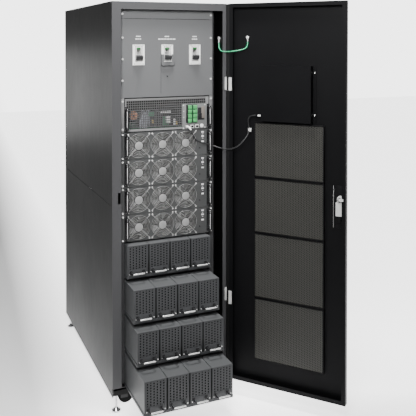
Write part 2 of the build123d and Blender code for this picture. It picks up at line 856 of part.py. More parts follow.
with BuildPart(hinge_line) as door_shell:
    block((door_start, door_end), (door_inner, door_outer), (door_bottom, door_top))
    fillet(door_shell.edges().filter_by(Axis.Z).sort_by_distance(
        hinge_line.from_local_coords((door_end / 2, 1000, 1000)))[:2], 4)
    block(
        (door_start + skin, door_end - skin), (door_inner + skin, door_outer - skin),
        (door_bottom + skin, door_top - skin), mode=Mode.SUBTRACT,
    )
    block(
        (door_start + door_lip, door_end - door_lip), (door_inner, door_inner + skin),
        (door_bottom + door_lip, door_top - door_lip), mode=Mode.SUBTRACT,
    )
    block(screen_reach, door_skin, screen_levels, mode=Mode.SUBTRACT)
    for low, high in vent_spans:
        block(
            (vent_reach[0] + vent_border, vent_reach[1] - vent_border), door_skin,
            (low + vent_border, high - vent_border), mode=Mode.SUBTRACT,
        )
    with Locations((lock_reach, (door_skin[0] + door_skin[1]) / 2, lock_level)):
        Cylinder(spindle_radius + seat, skin, rotation=(90, 0, 0), mode=Mode.SUBTRACT)
save("door_shell", door_shell.part)

vents = []
for low, high in vent_spans:
    with BuildPart(hinge_line) as vent:
        block(vent_reach, (door_skin[0] - vent_depth, door_skin[0]), (low, high))
        block(
            (vent_reach[0] + 1.5, vent_reach[1] - 1.5), (door_skin[0] - vent_depth + 1.5, door_skin[0]),
            (low + 1.5, high - 1.5), mode=Mode.SUBTRACT,
        )
    vents.append(vent.part)
save("door_vents", *vents)

with BuildPart(hinge_line) as display_housing:
    block(box_reach, (box_inner, door_skin[0]), box_levels)
    block(
        (box_reach[0] + 2, box_reach[1] - 2), (box_inner + 2, door_skin[0]),
        (box_levels[0] + 2, box_levels[1] - 2), mode=Mode.SUBTRACT,
    )
    block((box_reach[1], box_reach[1] + 16), (door_skin[0] - 2, door_skin[0]), box_levels)
with BuildPart(hinge_line) as screen_module:
    block(
        (screen_reach[0] - 8, screen_reach[1] + 8), (door_skin[0] - 6, door_skin[0]),
        (screen_levels[0] - 8, screen_levels[1] + 8),
    )
    block(
        (screen_reach[0] + 20, screen_reach[1] - 20), (box_inner + 2, door_skin[0] - 6),
        (screen_levels[0] + 15, screen_levels[1] - 15),
    )
with BuildPart(hinge_line) as screen_glass:
    block(
        (screen_reach[0] + seat, screen_reach[1] - seat), (door_skin[0], door_outer - 0.4),
        (screen_levels[0] + seat, screen_levels[1] - seat),
    )
plug_length = 30.0
display_plug_level = 1422.0
display_plug_y = -19.0
with BuildPart(hinge_line) as display_plug:
    block(
        (box_reach[0] - plug_length, box_reach[0]), (display_plug_y - 5, display_plug_y + 5),
        (display_plug_level - 5, display_plug_level + 5),
    )
save(
    "display_box", display_housing.part, screen_module.part, screen_glass.part, display_plug.part,
)

# ---------------------------------------------------------------- lock and door fittings
with BuildPart(hinge_line) as lock_case:
    block(lock_plate[0], (door_skin[0] - 2, door_skin[0]), lock_plate[1])
    block(lock_box[0], (door_skin[0] - 20, door_skin[0] - 2), lock_box[1])
    with Locations((lock_reach, door_skin[0] - 10, lock_level)):
        Cylinder(spindle_radius + running, 24, rotation=(90, 0, 0), mode=Mode.SUBTRACT)
with BuildPart(hinge_line) as handle_plate:
    block(handle_box[0], (door_outer, door_outer + 6), handle_box[1])
    with Locations((lock_reach, door_outer + 3, lock_level)):
        Cylinder(spindle_radius + running, 6, rotation=(90, 0, 0), mode=Mode.SUBTRACT)
    outward = Axis((0, 0, 0), hinge_line.y_dir)
    fillet(handle_plate.edges().filter_by(GeomType.LINE).filter_by(outward), 8)
door_lug = (door_stud[0], door_skin[0] - 3.5, door_stud[1] - lug_length)
with BuildPart(hinge_line) as ground_stud:
    with Locations((door_stud[0], door_skin[0] - 3.5, door_stud[1])):
        Cylinder(8, 7, rotation=(90, 0, 0))
    post(lug_radius, door_lug[0], door_lug[1], (door_lug[2], door_stud[1]))
with BuildPart(hinge_line) as cable_clip:
    block(clip_box[0], (door_skin[0] - 8, door_skin[0]), clip_box[1])
save("door_fittings", lock_case.part, handle_plate.part, ground_stud.part, cable_clip.part)

spindle_inner, spindle_outer = door_inner - 14, door_outer + 12
with BuildPart(hinge_line) as door_handle:
    with Locations((lock_reach, (spindle_inner + spindle_outer) / 2, lock_level)):
        Cylinder(spindle_radius, spindle_outer - spindle_inner, rotation=(90, 0, 0))
    block(
        (lock_reach - 10, lock_reach + 10), (spindle_outer, spindle_outer + 12),
        (lock_level - lever_drop, lock_level + 14),
    )
    block(
        (lock_reach - 6, lock_reach + cam_reach), (spindle_inner, spindle_inner + 4),
        (lock_level - 6, lock_level + 6),
    )
save("door_handle", door_handle.part)

# ---------------------------------------------------------------- casters and feet
fork_top = pad_top - plate - seat
wheel_center = wheel_lift + wheel_radius
for number, (x, y) in enumerate(cabinet_corners(*caster_inset), start=1):
    outward = 1 if x < 0 else -1
    axle_x = x + outward * caster_trail
    cheek = wheel_width / 2 + 1
    with BuildPart() as fork:
        post(fork_collar, x, y, (fork_top - 4, fork_top))
        block(
            sorted((x - outward * 12, axle_x + outward * 14)),
            (y - cheek - fork_sheet, y + cheek + fork_sheet), (fork_top - 8, fork_top - 4),
        )
        for edge in (-cheek - fork_sheet, cheek):
            block(
                sorted((x - outward * 6, axle_x + outward * 9)), (y + edge, y + edge + fork_sheet),
                (wheel_center - 9, fork_top - 8),
            )
        post(kingpin_radius, x, y, (fork_top, pad_top + seat))
        post(10, x, y, (pad_top + seat, pad_top + seat + 4))
        rod(axle_radius, axle_x, wheel_center, (y - cheek - fork_sheet, y + cheek + fork_sheet))
    save(f"caster_{number}_fork", fork.part)
    with BuildPart() as wheel:
        tread_y = (y - wheel_width / 2, y + wheel_width / 2)
        rod(wheel_radius, axle_x, wheel_center, tread_y)
        fillet(wheel.edges(), 3)
        rod(axle_radius + running, axle_x, wheel_center, tread_y, Mode.SUBTRACT)
    save(f"caster_{number}_wheel", wheel.part)

feet = []
for x, y in cabinet_corners(*foot_inset):
    with BuildPart() as foot:
        post(foot_radius, x, y, (0, 6))
        with Locations((x, y, 6)):
            Cone(foot_radius - 4, stem_radius + 3, 12, align=(Align.CENTER, Align.CENTER, Align.MIN))
        post(stem_radius, x, y, (18, pad_top + 18))
        with BuildSketch(Plane.XY.offset(pad_top - plate - 9)):
            with Locations((x, y)):
                RegularPolygon(8, 6)
        extrude(amount=8.7)
    feet.append(foot.part)
save("levelling_feet", *feet)

# ---------------------------------------------------------------- fasteners
frame_stud = (right - right_lip - 3.5, front + 42, 1804.0)
frame_lug = (frame_stud[0], frame_stud[1], frame_stud[2] - lug_length)
with BuildPart() as frame_ground_stud:
    with Locations(frame_stud):
        Cylinder(8, 7, rotation=(0, 90, 0))
    post(lug_radius, frame_lug[0], frame_lug[1], (frame_lug[2], frame_stud[2]))
save(
    "fasteners", frame_ground_stud.part,
    *[screw(x, z, panel_front) for x in screw_columns for z in fixed_screws],
)


# ---------------------------------------------------------------- free cables
def cable(points, radius):
    """A hanging cable: straight runs joined by arcs as large as their runs allow."""
    points = [Vector(point) for point in points]
    radii = []
    for before, corner, after in zip(points, points[1:], points[2:]):
        turn = radians((corner - before).get_angle(after - corner))
        run = min((corner - before).length, (after - corner).length)
        radii.append(0.45 * run / tan(turn / 2))
    with BuildPart() as tube:
        with BuildLine() as route:
            FilletPolyline(*points, radius=radii)
        with BuildSketch(Plane(origin=points[0], z_dir=route.wire() % 0)):
            Circle(radius)
        sweep()
    length = route.wire().length
    print(f"cable radius {radius}: length {length:.0f}, smallest bend {min(radii):.1f}, "
          f"volume ratio {tube.part.volume / (pi * radius ** 2 * length):.4f}")
    return tube.part


def on_door(reach, outward, level):
    """A point of the door: distance from the hinge axis, distance outward of it, height."""
    return hinge_line.from_local_coords((reach, outward, level))


ground_route = [
    frame_lug,
    (frame_lug[0], frame_lug[1], 1768),
    (276, -516, 1752),
    (275.5, -533, 1741),
    (276.5, -556, 1737),
    (281, -580, 1736),
    (290, -604, 1737),
    (306, -628, 1740),
    (328, -645, 1744),
    (350, -653, 1750),
    (364, -653, 1759),
    on_door(door_lug[0], door_lug[1], 1773),
    on_door(*door_lug),
]
save("ground_wire", cable(ground_route, wire_radius))

display_route = [
    (plug_x, comm_front - 20, port_level),
    (plug_x, comm_front - 37, port_level),
    (96, -572, 1347),
    (104, -577, 1326),
    (118, -570, 1303),
    (140, -556, 1286),
    (168, -543, 1277),
    (204, -538, 1267),
    (234, -545, 1256),
    (258, -569, 1248),
    (278, -600, 1244),
    (300, -634, 1252),
    (324, -655, 1271),
    (346, -664, 1297),
    on_door(104, -11, 1320),
    on_door(108, -3.4, 1345),
    on_door(106, -5, 1372),
    on_door(106, -12, 1396),
    on_door(113, -16, 1411),
    on_door(131, display_plug_y, display_plug_level),
    on_door(box_reach[0] - plug_length, display_plug_y, display_plug_level),
]
save("display_cable", cable(display_route, cable_radius))
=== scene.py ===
from math import cos, pi, radians, sin, tan

import bmesh
import bpy
from mathutils import Matrix, Vector


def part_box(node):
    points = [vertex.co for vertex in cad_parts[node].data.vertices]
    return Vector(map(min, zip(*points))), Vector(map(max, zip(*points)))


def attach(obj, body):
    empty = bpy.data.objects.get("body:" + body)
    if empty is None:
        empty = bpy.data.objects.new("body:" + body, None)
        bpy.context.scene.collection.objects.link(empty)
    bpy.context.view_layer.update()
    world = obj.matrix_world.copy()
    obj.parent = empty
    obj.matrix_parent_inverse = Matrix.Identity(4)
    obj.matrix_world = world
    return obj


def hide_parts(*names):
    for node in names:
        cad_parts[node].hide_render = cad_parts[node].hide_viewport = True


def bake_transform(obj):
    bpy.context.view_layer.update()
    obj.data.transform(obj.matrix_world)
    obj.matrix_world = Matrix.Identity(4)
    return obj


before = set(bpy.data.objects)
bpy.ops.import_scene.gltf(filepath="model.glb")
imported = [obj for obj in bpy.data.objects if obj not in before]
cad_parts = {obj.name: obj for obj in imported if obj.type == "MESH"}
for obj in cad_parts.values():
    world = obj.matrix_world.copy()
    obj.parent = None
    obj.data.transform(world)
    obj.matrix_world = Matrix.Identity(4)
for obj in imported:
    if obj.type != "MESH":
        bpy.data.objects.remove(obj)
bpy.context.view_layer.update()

# ------------------------------------------------------------------ dimensions, in metres
RACK_UNIT = 0.04445
RACK_CENTER = -0.007
EAR = 0.2413
HOLE_COLUMNS = (RACK_CENTER - 0.23255, RACK_CENTER + 0.23255)
PANEL_FRONT = -0.520
RAIL_FRONT = -0.518
CASE_LEFT, CASE_RIGHT = RACK_CENTER - 0.220, RACK_CENTER + 0.220
MODULE_PITCH = 3 * RACK_UNIT
MODULE_LEVELS = [0.8112 + (3 - n) * MODULE_PITCH for n in range(4)]
BYPASS_BOTTOM, BYPASS_TOP = 1.3446, 1.5126
FAN_COLUMNS = (-0.1578, -0.0350, 0.0878)
FAN_PITCH = 0.1228
FAN_BORE = 0.057
HUB = 0.0205
HANDLE_COLUMNS = (RACK_CENTER - 0.217, RACK_CENTER + 0.217)
ROW_LEVELS = [0.100 + (3 - n) * 4 * RACK_UNIT for n in range(4)]
ROW_DRAW = (0.040, 0.145, 0.198, 0.300)
PACK_WIDTH = 0.1065
PACK_STEP = 0.1095
PACK_LEFT = -0.0115 - (4 * PACK_WIDTH + 3 * 0.003) / 2
BREAKER_COLUMNS = (-0.159, -0.011, 0.137)
BREAKER_LEVEL = 1.7221
DOOR_ANGLE = radians(130)
HINGE = Vector((0.306, -0.578, 0.0))
VENT_REACH = (0.137, 0.495)
VENT_LEVELS = (0.198, 0.510, 0.835, 1.112, 1.389)
DOOR_SKIN = 0.008              # inner face of the door's sheet, outward of the hinge line
HINGE_LEVELS = (0.494, 1.574)
LOCK_FACE = 0.006              # face of the lock's plate, outward of the hinge line
HANDLE_REACH = 0.571           # the door handle's spindle, from the hinge line
SPINDLE_LEVEL = 1.049
STUD_REACH = 0.096             # the door's ground stud, from the hinge line
GRIP_DEPTH = -0.5520           # middle of the modules' handles, in front of their panels
GRIP_HALF = 0.0515
GRIP_RADIUS = 0.0066
BYPASS_GRIP_DROP = 0.018       # the bypass module's handles sit under its middle
GUARD_RINGS = (0.0280, 0.0355, 0.0430, 0.0505, FAN_BORE + 0.001)
GUARD_WIRE = 0.0010
HOUSING_BACK = -0.4795         # back of the fans' housings
SPOKE_REACH = 0.0745
BREAKER_FACE = (-0.5262, -0.5248)
TRAY_LENGTH = 0.700
SHEET = 0.002                  # folded sheet of the faceplates and trays
BAIL_HALF = 0.031
BAIL_REACH = 0.036
BAIL_RISE = 0.042              # a bail's middle over the row's lower edge

DOOR = Matrix.Translation(HINGE) @ Matrix.Rotation(DOOR_ANGLE - pi, 4, "Z")
STAND = Matrix.Identity(4)


# ------------------------------------------------------------------ shader arithmetic
class Wire:
    """A shader socket that takes part in Python arithmetic by adding Math nodes."""

    def __init__(self, finish, socket):
        self.finish = finish
        self.socket = socket

    def math(self, operation, *values):
        return self.finish.node("ShaderNodeMath", {"operation": operation}, *values)

    def __add__(self, other):
        return self.math("ADD", self, other)

    def __sub__(self, other):
        return self.math("SUBTRACT", self, other)

    def __mul__(self, other):
        return self.math("MULTIPLY", self, other)

    def __gt__(self, other):
        return self.math("GREATER_THAN", self, other)

    def __lt__(self, other):
        return self.math("LESS_THAN", self, other)

    def __rsub__(self, other):
        return self.math("SUBTRACT", other, self)

    __radd__ = __add__
    __rmul__ = __mul__

    def size(self):
        return self.math("ABSOLUTE", self)


class Finish:
    """One material: its shader, and the nodes that vary it over the surface."""

    def __init__(self, name, roughness, metallic=0.0, **fixed):
        self.material = bpy.data.materials.new(name)
        self.material.use_nodes = True
        self.tree = self.material.node_tree
        self.shader = self.tree.nodes["Principled BSDF"]
        self.set("Roughness", roughness)
        self.set("Metallic", metallic)
        for name, value in fixed.items():
            self.set(name.replace("_", " "), value)
        self.place = self.node("ShaderNodeTexCoord", out="Object")

    def node(self, kind, settings=None, *values, out=0, **named):
        made = self.tree.nodes.new(kind)
        for name, value in (settings or {}).items():
            setattr(made, name, value)
        for number, value in enumerate(values):
            self.feed(made.inputs[number], value)
        for name, value in named.items():
            self.feed(made.inputs[name.replace("_", " ")], value)
        return Wire(self, made.outputs[out])

    def feed(self, socket, value):
        if isinstance(value, Wire):
            self.tree.links.new(value.socket, socket)
        else:
            socket.default_value = value

    def set(self, name, value):
        self.feed(self.shader.inputs[name], value)

    def noise(self, scale, detail=2.0, stretch=(1, 1, 1)):
        place = self.node(
            "ShaderNodeVectorMath", {"operation": "MULTIPLY"}, self.place, stretch
        )
        return self.node("ShaderNodeTexNoise", None, Vector=place, Scale=scale, Detail=detail)

    def mix(self, low, high, share):
        made = self.tree.nodes.new("ShaderNodeMix")
        made.data_type = "RGBA"
        for number, value in ((0, share), (6, low), (7, high)):
            if not isinstance(value, Wire) and number:
                value = (*value, 1.0)
            self.feed(made.inputs[number], value)
        return Wire(self, made.outputs[2])

    def relief(self, height, distance, strength=1.0):
        self.set("Normal", self.node(
            "ShaderNodeBump", None, Strength=strength, Distance=distance, Height=height
        ))

    def along(self, direction, origin=(0, 0, 0)):
        """How far a point lies along a direction from an origin, in metres."""
        offset = self.node("ShaderNodeVectorMath", {"operation": "SUBTRACT"}, self.place, origin)
        return self.node(
            "ShaderNodeVectorMath", {"operation": "DOT_PRODUCT"}, offset, direction, out="Value"
        )


def shade(color, share):
    return tuple(min(1.0, part * share) for part in color)


def powder_coat(name, color, roughness=0.42, grain=650.0, depth=0.00006, cloud=0.12, gloss=0.25):
    """Baked powder paint: fine orange peel, and a little unevenness in tone and gloss."""
    coat = Finish(name, roughness, Specular_IOR_Level=gloss)
    peel = coat.noise(grain)
    patches = coat.noise(2.6, 4.0)
    scuffs = coat.noise(38.0, 5.0, (1, 1, 0.35))
    coat.set("Base Color", coat.mix(shade(color, 1 - cloud), shade(color, 1 + cloud), patches))
    coat.set("Roughness", roughness - 0.08 + patches * 0.1 + scuffs * 0.06)
    coat.relief(peel, depth)
    return coat


def zinc_plate(name, color=(0.52, 0.52, 0.5), roughness=0.34):
    """Zinc-plated sheet: small spangles of slightly different tone, rolled along Z."""
    plate = Finish(name, roughness, 1.0)
    spangle = plate.node("ShaderNodeTexVoronoi", None, out="Color", Vector=plate.place, Scale=170.0)
    tone = plate.node("ShaderNodeSeparateColor", None, spangle)
    rolled = plate.noise(420.0, 2.0, (1, 1, 0.06))
    plate.set("Base Color", plate.mix(shade(color, 0.82), shade(color, 1.14), tone))
    plate.set("Roughness", roughness - 0.07 + tone * 0.1 + rolled * 0.08)
    plate.relief(rolled, 0.00003)
    return plate


def moulded_plastic(name, color, roughness=0.5, grain=1100.0, **fixed):
    """Moulded plastic with a fine eroded grain."""
    plastic = Finish(name, roughness, **fixed)
    grains = plastic.noise(grain, 1.0)
    flow = plastic.noise(14.0, 3.0)
    plastic.set("Base Color", plastic.mix(shade(color, 0.9), shade(color, 1.1), flow))
    plastic.set("Roughness", roughness - 0.06 + grains * 0.12)
    plastic.relief(grains, 0.00004)
    return plastic


def painted_shade_and_two_tone(coat, share, color):
    """Darkens a coat where a mask says so: painted shade on the inner faces of folded sheet, and
    the darker parts of a two-tone piece.
    """
    tone = Wire(coat, coat.shader.inputs["Base Color"].links[0].from_socket)
    coat.set("Base Color", coat.mix(tone, color, share))


def bright_metal(name, color=(0.72, 0.72, 0.72), roughness=0.2, metallic=1.0):
    """Plated or polished metal with faint turning marks."""
    metal = Finish(name, roughness, metallic)
    marks = metal.noise(900.0, 2.0, (1, 1, 0.1))
    metal.set("Base Color", metal.mix(shade(color, 0.9), color, metal.noise(60.0)))
    metal.set("Roughness", roughness - 0.05 + marks * 0.1)
    metal.relief(marks, 0.00002)
    return metal


roof_paint = powder_coat("roof_paint", (0.034, 0.034, 0.035), 0.4)
cabinet_paint = powder_coat("cabinet_paint", (0.0065, 0.0065, 0.0065), 0.38, gloss=0.08)
SIDE_INNER = 0.2985            # inner face of the side panels, from the cabinet's middle
POST_FOLD = -0.5465            # where the posts turn inwards behind their front faces
FLANGE_SIDE, FLANGE_FRONT = 0.298, -0.5502    # the flange beside the door's near edge
# Painted shade: the cabinet's inner faces, inside the side panels, are painted near black.
painted_shade_and_two_tone(
    cabinet_paint, cabinet_paint.along((1, 0, 0)).size() < SIDE_INNER, (0.001, 0.001, 0.001)
)
# Painted light: the posts' paint is much lighter than the side panels', because their front faces
# catch the light.
post_paint_lit_and_shaded = powder_coat("post_paint_lit_and_shaded", (0.052, 0.052, 0.054), 0.45, gloss=0.15)
# Painted shade: the posts' faces behind their front fold are painted near black.
painted_shade_and_two_tone(post_paint_lit_and_shaded, post_paint_lit_and_shaded.along((0, 1, 0)) > POST_FOLD, (0.001, 0.001, 0.001))
# Painted shade: the flange beside the door's near edge is painted near black.
beside_door = post_paint_lit_and_shaded.along((0, 1, 0)) < FLANGE_FRONT
flange_shade = beside_door * (post_paint_lit_and_shaded.along((1, 0, 0)) > FLANGE_SIDE)
painted_shade_and_two_tone(post_paint_lit_and_shaded, flange_shade, (0.002, 0.002, 0.002))
rail_paint = powder_coat("rail_paint", (0.03, 0.03, 0.031), 0.5)
# Painted shade: the door's paint is darker than the cabinet's, for the shade on the open door's
# inner face.
door_paint = powder_coat("door_paint", (0.0025, 0.0025, 0.0029), 0.5, gloss=0.09)
blank_paint = powder_coat("blank_paint", (0.09, 0.091, 0.093), 0.5)
module_paint = powder_coat("module_paint", (0.048, 0.049, 0.049), 0.42, 500.0, 0.0001, 0.25)
pack_paint = powder_coat("pack_paint", (0.066, 0.068, 0.070), 0.48)
pack_front_paint = powder_coat("pack_front_paint", (0.038, 0.039, 0.041), 0.45)
mesh_paint = powder_coat("mesh_paint", (0.075, 0.075, 0.075), 0.45)
bezel_paint = powder_coat("bezel_paint", (0.13, 0.13, 0.13), 0.45)
display_paint = powder_coat("display_paint", (0.0025, 0.0025, 0.0029), 0.45, gloss=0.09)
comm_paint = powder_coat("comm_paint", (0.125, 0.127, 0.125), 0.5)
zinc = zinc_plate("zinc", (0.16, 0.16, 0.155), 0.45)
hinge_zinc = bright_metal("hinge_zinc", (0.58, 0.58, 0.57), 0.3, 0.3)
guard_metal = bright_metal("guard_metal", (0.27, 0.27, 0.265), 0.36, 0.2)
screw_metal = bright_metal("screw_metal", (0.7, 0.7, 0.69), 0.26, 0.4)
# Painted highlight: the bright metal of the strips along the handles' grips.
highlight_strip_metal = bright_metal("highlight_strip_metal", (0.6, 0.6, 0.6), 0.3, 0.2)
foot_chrome = bright_metal("foot_chrome", (0.45, 0.45, 0.46), 0.16)
black_plastic = moulded_plastic("black_plastic", (0.01, 0.01, 0.011), 0.42, Specular_IOR_Level=0.3)
fan_plastic = moulded_plastic("fan_plastic", (0.04, 0.04, 0.039), 0.4)
handle_plastic = moulded_plastic("handle_plastic", (0.006, 0.006, 0.0065), 0.16, Coat_Weight=0.4)
white_plastic = moulded_plastic("white_plastic", (0.72, 0.72, 0.7), 0.45)
grey_plastic = moulded_plastic("grey_plastic", (0.3, 0.3, 0.3), 0.5)
green_plastic = moulded_plastic("green_plastic", (0.06, 0.35, 0.11), 0.42)
flag_green = moulded_plastic("flag_green", (0.012, 0.09, 0.022), 0.42)
copper = bright_metal("copper", (0.62, 0.3, 0.17), 0.3, 0.6)
board_green = moulded_plastic("board_green", (0.02, 0.13, 0.06), 0.4)
# Near black: the door vents' filters, and painted shade behind the battery fronts' perforations.
filter_and_shade_black = moulded_plastic(
    "filter_and_shade_black", (0.006, 0.006, 0.006), 0.9, 320.0, Specular_IOR_Level=0.1
)
vent_mesh = powder_coat("vent_mesh", (0.031, 0.0305, 0.027), 0.5, gloss=0.3)
print_white = moulded_plastic("print_white", (0.6, 0.6, 0.6), 0.6)
case_dark = powder_coat("case_dark", (0.006, 0.006, 0.006), 0.5, gloss=0.1)
silver_wire = moulded_plastic("silver_wire", (0.3, 0.31, 0.35), 0.4)
amber_plastic = moulded_plastic("amber_plastic", (0.5, 0.35, 0.08), 0.4)
card_plastic = moulded_plastic("card_plastic", (0.13, 0.115, 0.1), 0.5)
# Painted highlight: the bright metal of the sleeves over the bails' crossbars.
bail_highlight_metal = bright_metal("bail_highlight_metal", (0.62, 0.62, 0.61), 0.25, 0.3)
green_wire = moulded_plastic("green_wire_skin", (0.03, 0.35, 0.16), 0.4, 700.0)
cable_jacket = moulded_plastic("cable_jacket", (0.007, 0.007, 0.0075), 0.5, 700.0)
# Near-black rubber for the door seal and wheels; also painted shade in the gaps between battery
# packs and along the bypass module's edges.
rubber = moulded_plastic("rubber", (0.004, 0.004, 0.004), 0.75, Specular_IOR_Level=0.1)


def dress(node, finish):
    """Gives a CAD node its finish."""
    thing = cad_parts[node]
    thing.data.materials.clear()
    thing.data.materials.append(finish.material)


# ------------------------------------------------------------------ making pieces
def make(name, shape, finish, body, slot, *replaced, smooth=True):
    """Turns a bmesh into a piece that rides on a body and may stand for CAD nodes."""
    bmesh.ops.remove_doubles(shape, verts=shape.verts, dist=1e-6)
    bmesh.ops.recalc_face_normals(shape, faces=shape.faces)
    mesh = bpy.data.meshes.new(name)
    shape.to_mesh(mesh)
    shape.free()
    mesh.materials.append(finish.material)
    thing = bpy.data.objects.new(name, mesh)
    bpy.context.collection.objects.link(thing)
    if smooth:
        mesh.shade_smooth()
        mesh.set_sharp_from_angle(angle=radians(35))
    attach(thing, body)
    if replaced:
        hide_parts(*replaced)
    return thing


def edges_of(verts):
    """The edges at some vertices, each once and in a fixed order."""
    return list(dict.fromkeys(edge for vert in verts for edge in vert.link_edges))


def rounding(shape, edges, offset):
    """Rounds edges with a bevel of two steps."""
    bmesh.ops.bevel(
        shape, geom=edges, offset=offset, segments=2, profile=0.5, affect="EDGES",
        material=-1, clamp_overlap=True,
    )


def bar(shape, x, y, z, edge=0.0, place=STAND):
    """A box between (low, high) pairs with rounded edges."""
    size = Vector((x[1] - x[0], y[1] - y[0], z[1] - z[0]))
    middle = Vector((x[0] + x[1], y[0] + y[1], z[0] + z[1])) / 2
    spot = place @ Matrix.Translation(middle) @ Matrix.Diagonal((*size, 1))
    made = bmesh.ops.create_cube(shape, size=1.0, matrix=spot)
    if edge:
        rounding(shape, edges_of(made["verts"]), edge)


def turned(point, axis, place=STAND):
    """A placement whose Z runs along an axis through a point."""
    way = Vector(axis).to_track_quat("Z", "Y").to_matrix().to_4x4()
    return place @ Matrix.Translation(point) @ way


def drum(shape, point, axis, radius, length, sides=24, edge=0.0, place=STAND, taper=1.0):
    """A round bar centred on a point, along an axis."""
    made = bmesh.ops.create_cone(
        shape, cap_ends=True, segments=sides, radius1=radius, radius2=radius * taper,
        depth=length, matrix=turned(point, axis, place),
    )
    if edge:
        rims = [
            rim for rim in edges_of(made["verts"])
            if any(len(face.verts) > 4 for face in rim.link_faces)
        ]
        rounding(shape, rims, edge)


def ring(shape, point, radius, wire, steps=32, sides=8, axis=(0, 1, 0), place=STAND):
    """A round wire bent into a ring about an axis through a point."""
    spot = place @ Matrix.Translation(point)
    across = Vector(axis).orthogonal().normalized()
    section = bmesh.ops.create_circle(
        shape, segments=sides, radius=wire,
        matrix=spot @ Matrix.Translation(across * radius)
        @ across.cross(Vector(axis)).to_track_quat("Z", "Y").to_matrix().to_4x4(),
    )
    bmesh.ops.spin(
        shape, geom=section["verts"] + edges_of(section["verts"]), cent=spot.translation,
        axis=spot.to_3x3() @ Vector(axis), angle=2 * pi, steps=steps, use_merge=True,
    )


def push(shape, loop, way):
    """Extrudes an edge loop and moves the new one."""
    made = bmesh.ops.extrude_edge_only(shape, edges=loop)["geom"]
    fresh = [part for part in made if isinstance(part, bmesh.types.BMVert)]
    bmesh.ops.translate(shape, verts=fresh, vec=way)
    return [
        part for part in made
        if isinstance(part, bmesh.types.BMEdge) and all(vert in fresh for vert in part.verts)
    ]


def bent_bar(shape, points, radius, corner, sides=12, place=STAND):
    """A round bar bent along points, with closed ends."""
    points = [place @ Vector(point) for point in points]
    made = bmesh.ops.create_circle(
        shape, segments=sides, radius=radius, cap_ends=True,
        matrix=turned(points[0], points[1] - points[0]),
    )
    loop = edges_of(made["verts"])
    at = points[0]
    for before, turn, after in zip(points, points[1:], points[2:]):
        ahead, beyond = (turn - before).normalized(), (after - turn).normalized()
        angle = ahead.angle(beyond)
        back = corner * tan(angle / 2)
        loop = push(shape, loop, turn - ahead * back - at)
        axis = ahead.cross(beyond).normalized()
        verts = list(dict.fromkeys(vert for edge in loop for vert in edge.verts))
        bent = bmesh.ops.spin(
            shape, geom=verts + loop, cent=turn - ahead * back + axis.cross(ahead) * corner,
            axis=axis, angle=angle, steps=5,
        )
        loop = [edge for edge in bent["geom_last"] if isinstance(edge, bmesh.types.BMEdge)]
        at = turn + beyond * back
    loop = push(shape, loop, points[-1] - at)
    bmesh.ops.edgeloop_fill(shape, edges=loop)


def screw_head(shape, point, axis, radius=0.0045, height=0.0022, place=STAND):
    """A pan head with a driver recess. The point is on the face it sits on."""
    middle = Vector(point) + Vector(axis) * height / 2
    made = bmesh.ops.create_cone(
        shape, cap_ends=True, segments=14, radius1=radius, radius2=radius * 0.82,
        depth=height, matrix=turned(middle, axis, place),
    )
    out = (place.to_3x3() @ Vector(axis)).normalized()
    tops = dict.fromkeys(face for vert in made["verts"] for face in vert.link_faces)
    crown = max(
        (face for face in tops if len(face.verts) > 4),
        key=lambda face: face.calc_center_median().dot(out),
    )
    bmesh.ops.inset_region(shape, faces=[crown], thickness=radius * 0.45)
    bmesh.ops.translate(shape, verts=crown.verts, vec=-out * height * 0.5)


def holed_tile(shape, x, z, half, hole, segments, y):
    """A flat rectangular tile, facing Y, with a round or oval hole through it."""
    corner = Matrix.Rotation(pi / 4, 4, "Z")
    rim = bmesh.ops.create_circle(shape, segments=segments, radius=1.0, matrix=corner)["verts"]
    lip = bmesh.ops.create_circle(shape, segments=segments, radius=1.0, matrix=corner)["verts"]
    for vert in rim:
        reach = max(abs(vert.co.x), abs(vert.co.y))
        vert.co = (x + half[0] * vert.co.x / reach, y, z + half[1] * vert.co.y / reach)
    for vert in lip:
        vert.co = (x + hole[0] * vert.co.x, y, z + hole[1] * vert.co.y)
    bmesh.ops.bridge_loops(shape, edges=edges_of(rim + lip))


def row_of(shape, geom, step, count):
    """Repeats geometry in a straight row."""
    if count:
        bmesh.ops.spin(
            shape, geom=geom, cent=(0, 0, 0), axis=(0, 0, 1), dvec=step, angle=0.0,
            steps=count, use_duplicate=True,
        )


def perforated(shape, x, z, y, pitch, hole, segments, staggered):
    """A flat perforated sheet between x and z limits, facing Y."""
    across = int((x[1] - x[0]) / pitch[0])
    up = int((z[1] - z[0]) / pitch[1])
    if staggered:
        across -= across % 2
    wide, tall = (x[1] - x[0]) / across, (z[1] - z[0]) / (up + (0.5 if staggered else 0))
    half = (wide / 2, tall / 2)
    holed_tile(shape, x[0] + wide / 2, z[0] + tall / 2, half, hole, segments, y)
    group = 1
    if staggered:
        holed_tile(shape, x[0] + 1.5 * wide, z[0] + tall, half, hole, segments, y)
        group = 2
    row_of(
        shape, shape.verts[:] + shape.edges[:] + shape.faces[:], (group * wide, 0, 0),
        across // group - 1,
    )
    row_of(shape, shape.verts[:] + shape.edges[:] + shape.faces[:], (0, 0, tall), up - 1)
    bmesh.ops.remove_doubles(shape, verts=shape.verts, dist=1e-5)


def thicken(shape, depth):
    """Gives a flat sheet its thickness, towards +Y."""
    bmesh.ops.recalc_face_normals(shape, faces=shape.faces)
    if shape.faces[:][0].normal.y > 0:
        bmesh.ops.reverse_faces(shape, faces=shape.faces)
    bmesh.ops.solidify(shape, geom=shape.faces[:], thickness=depth)


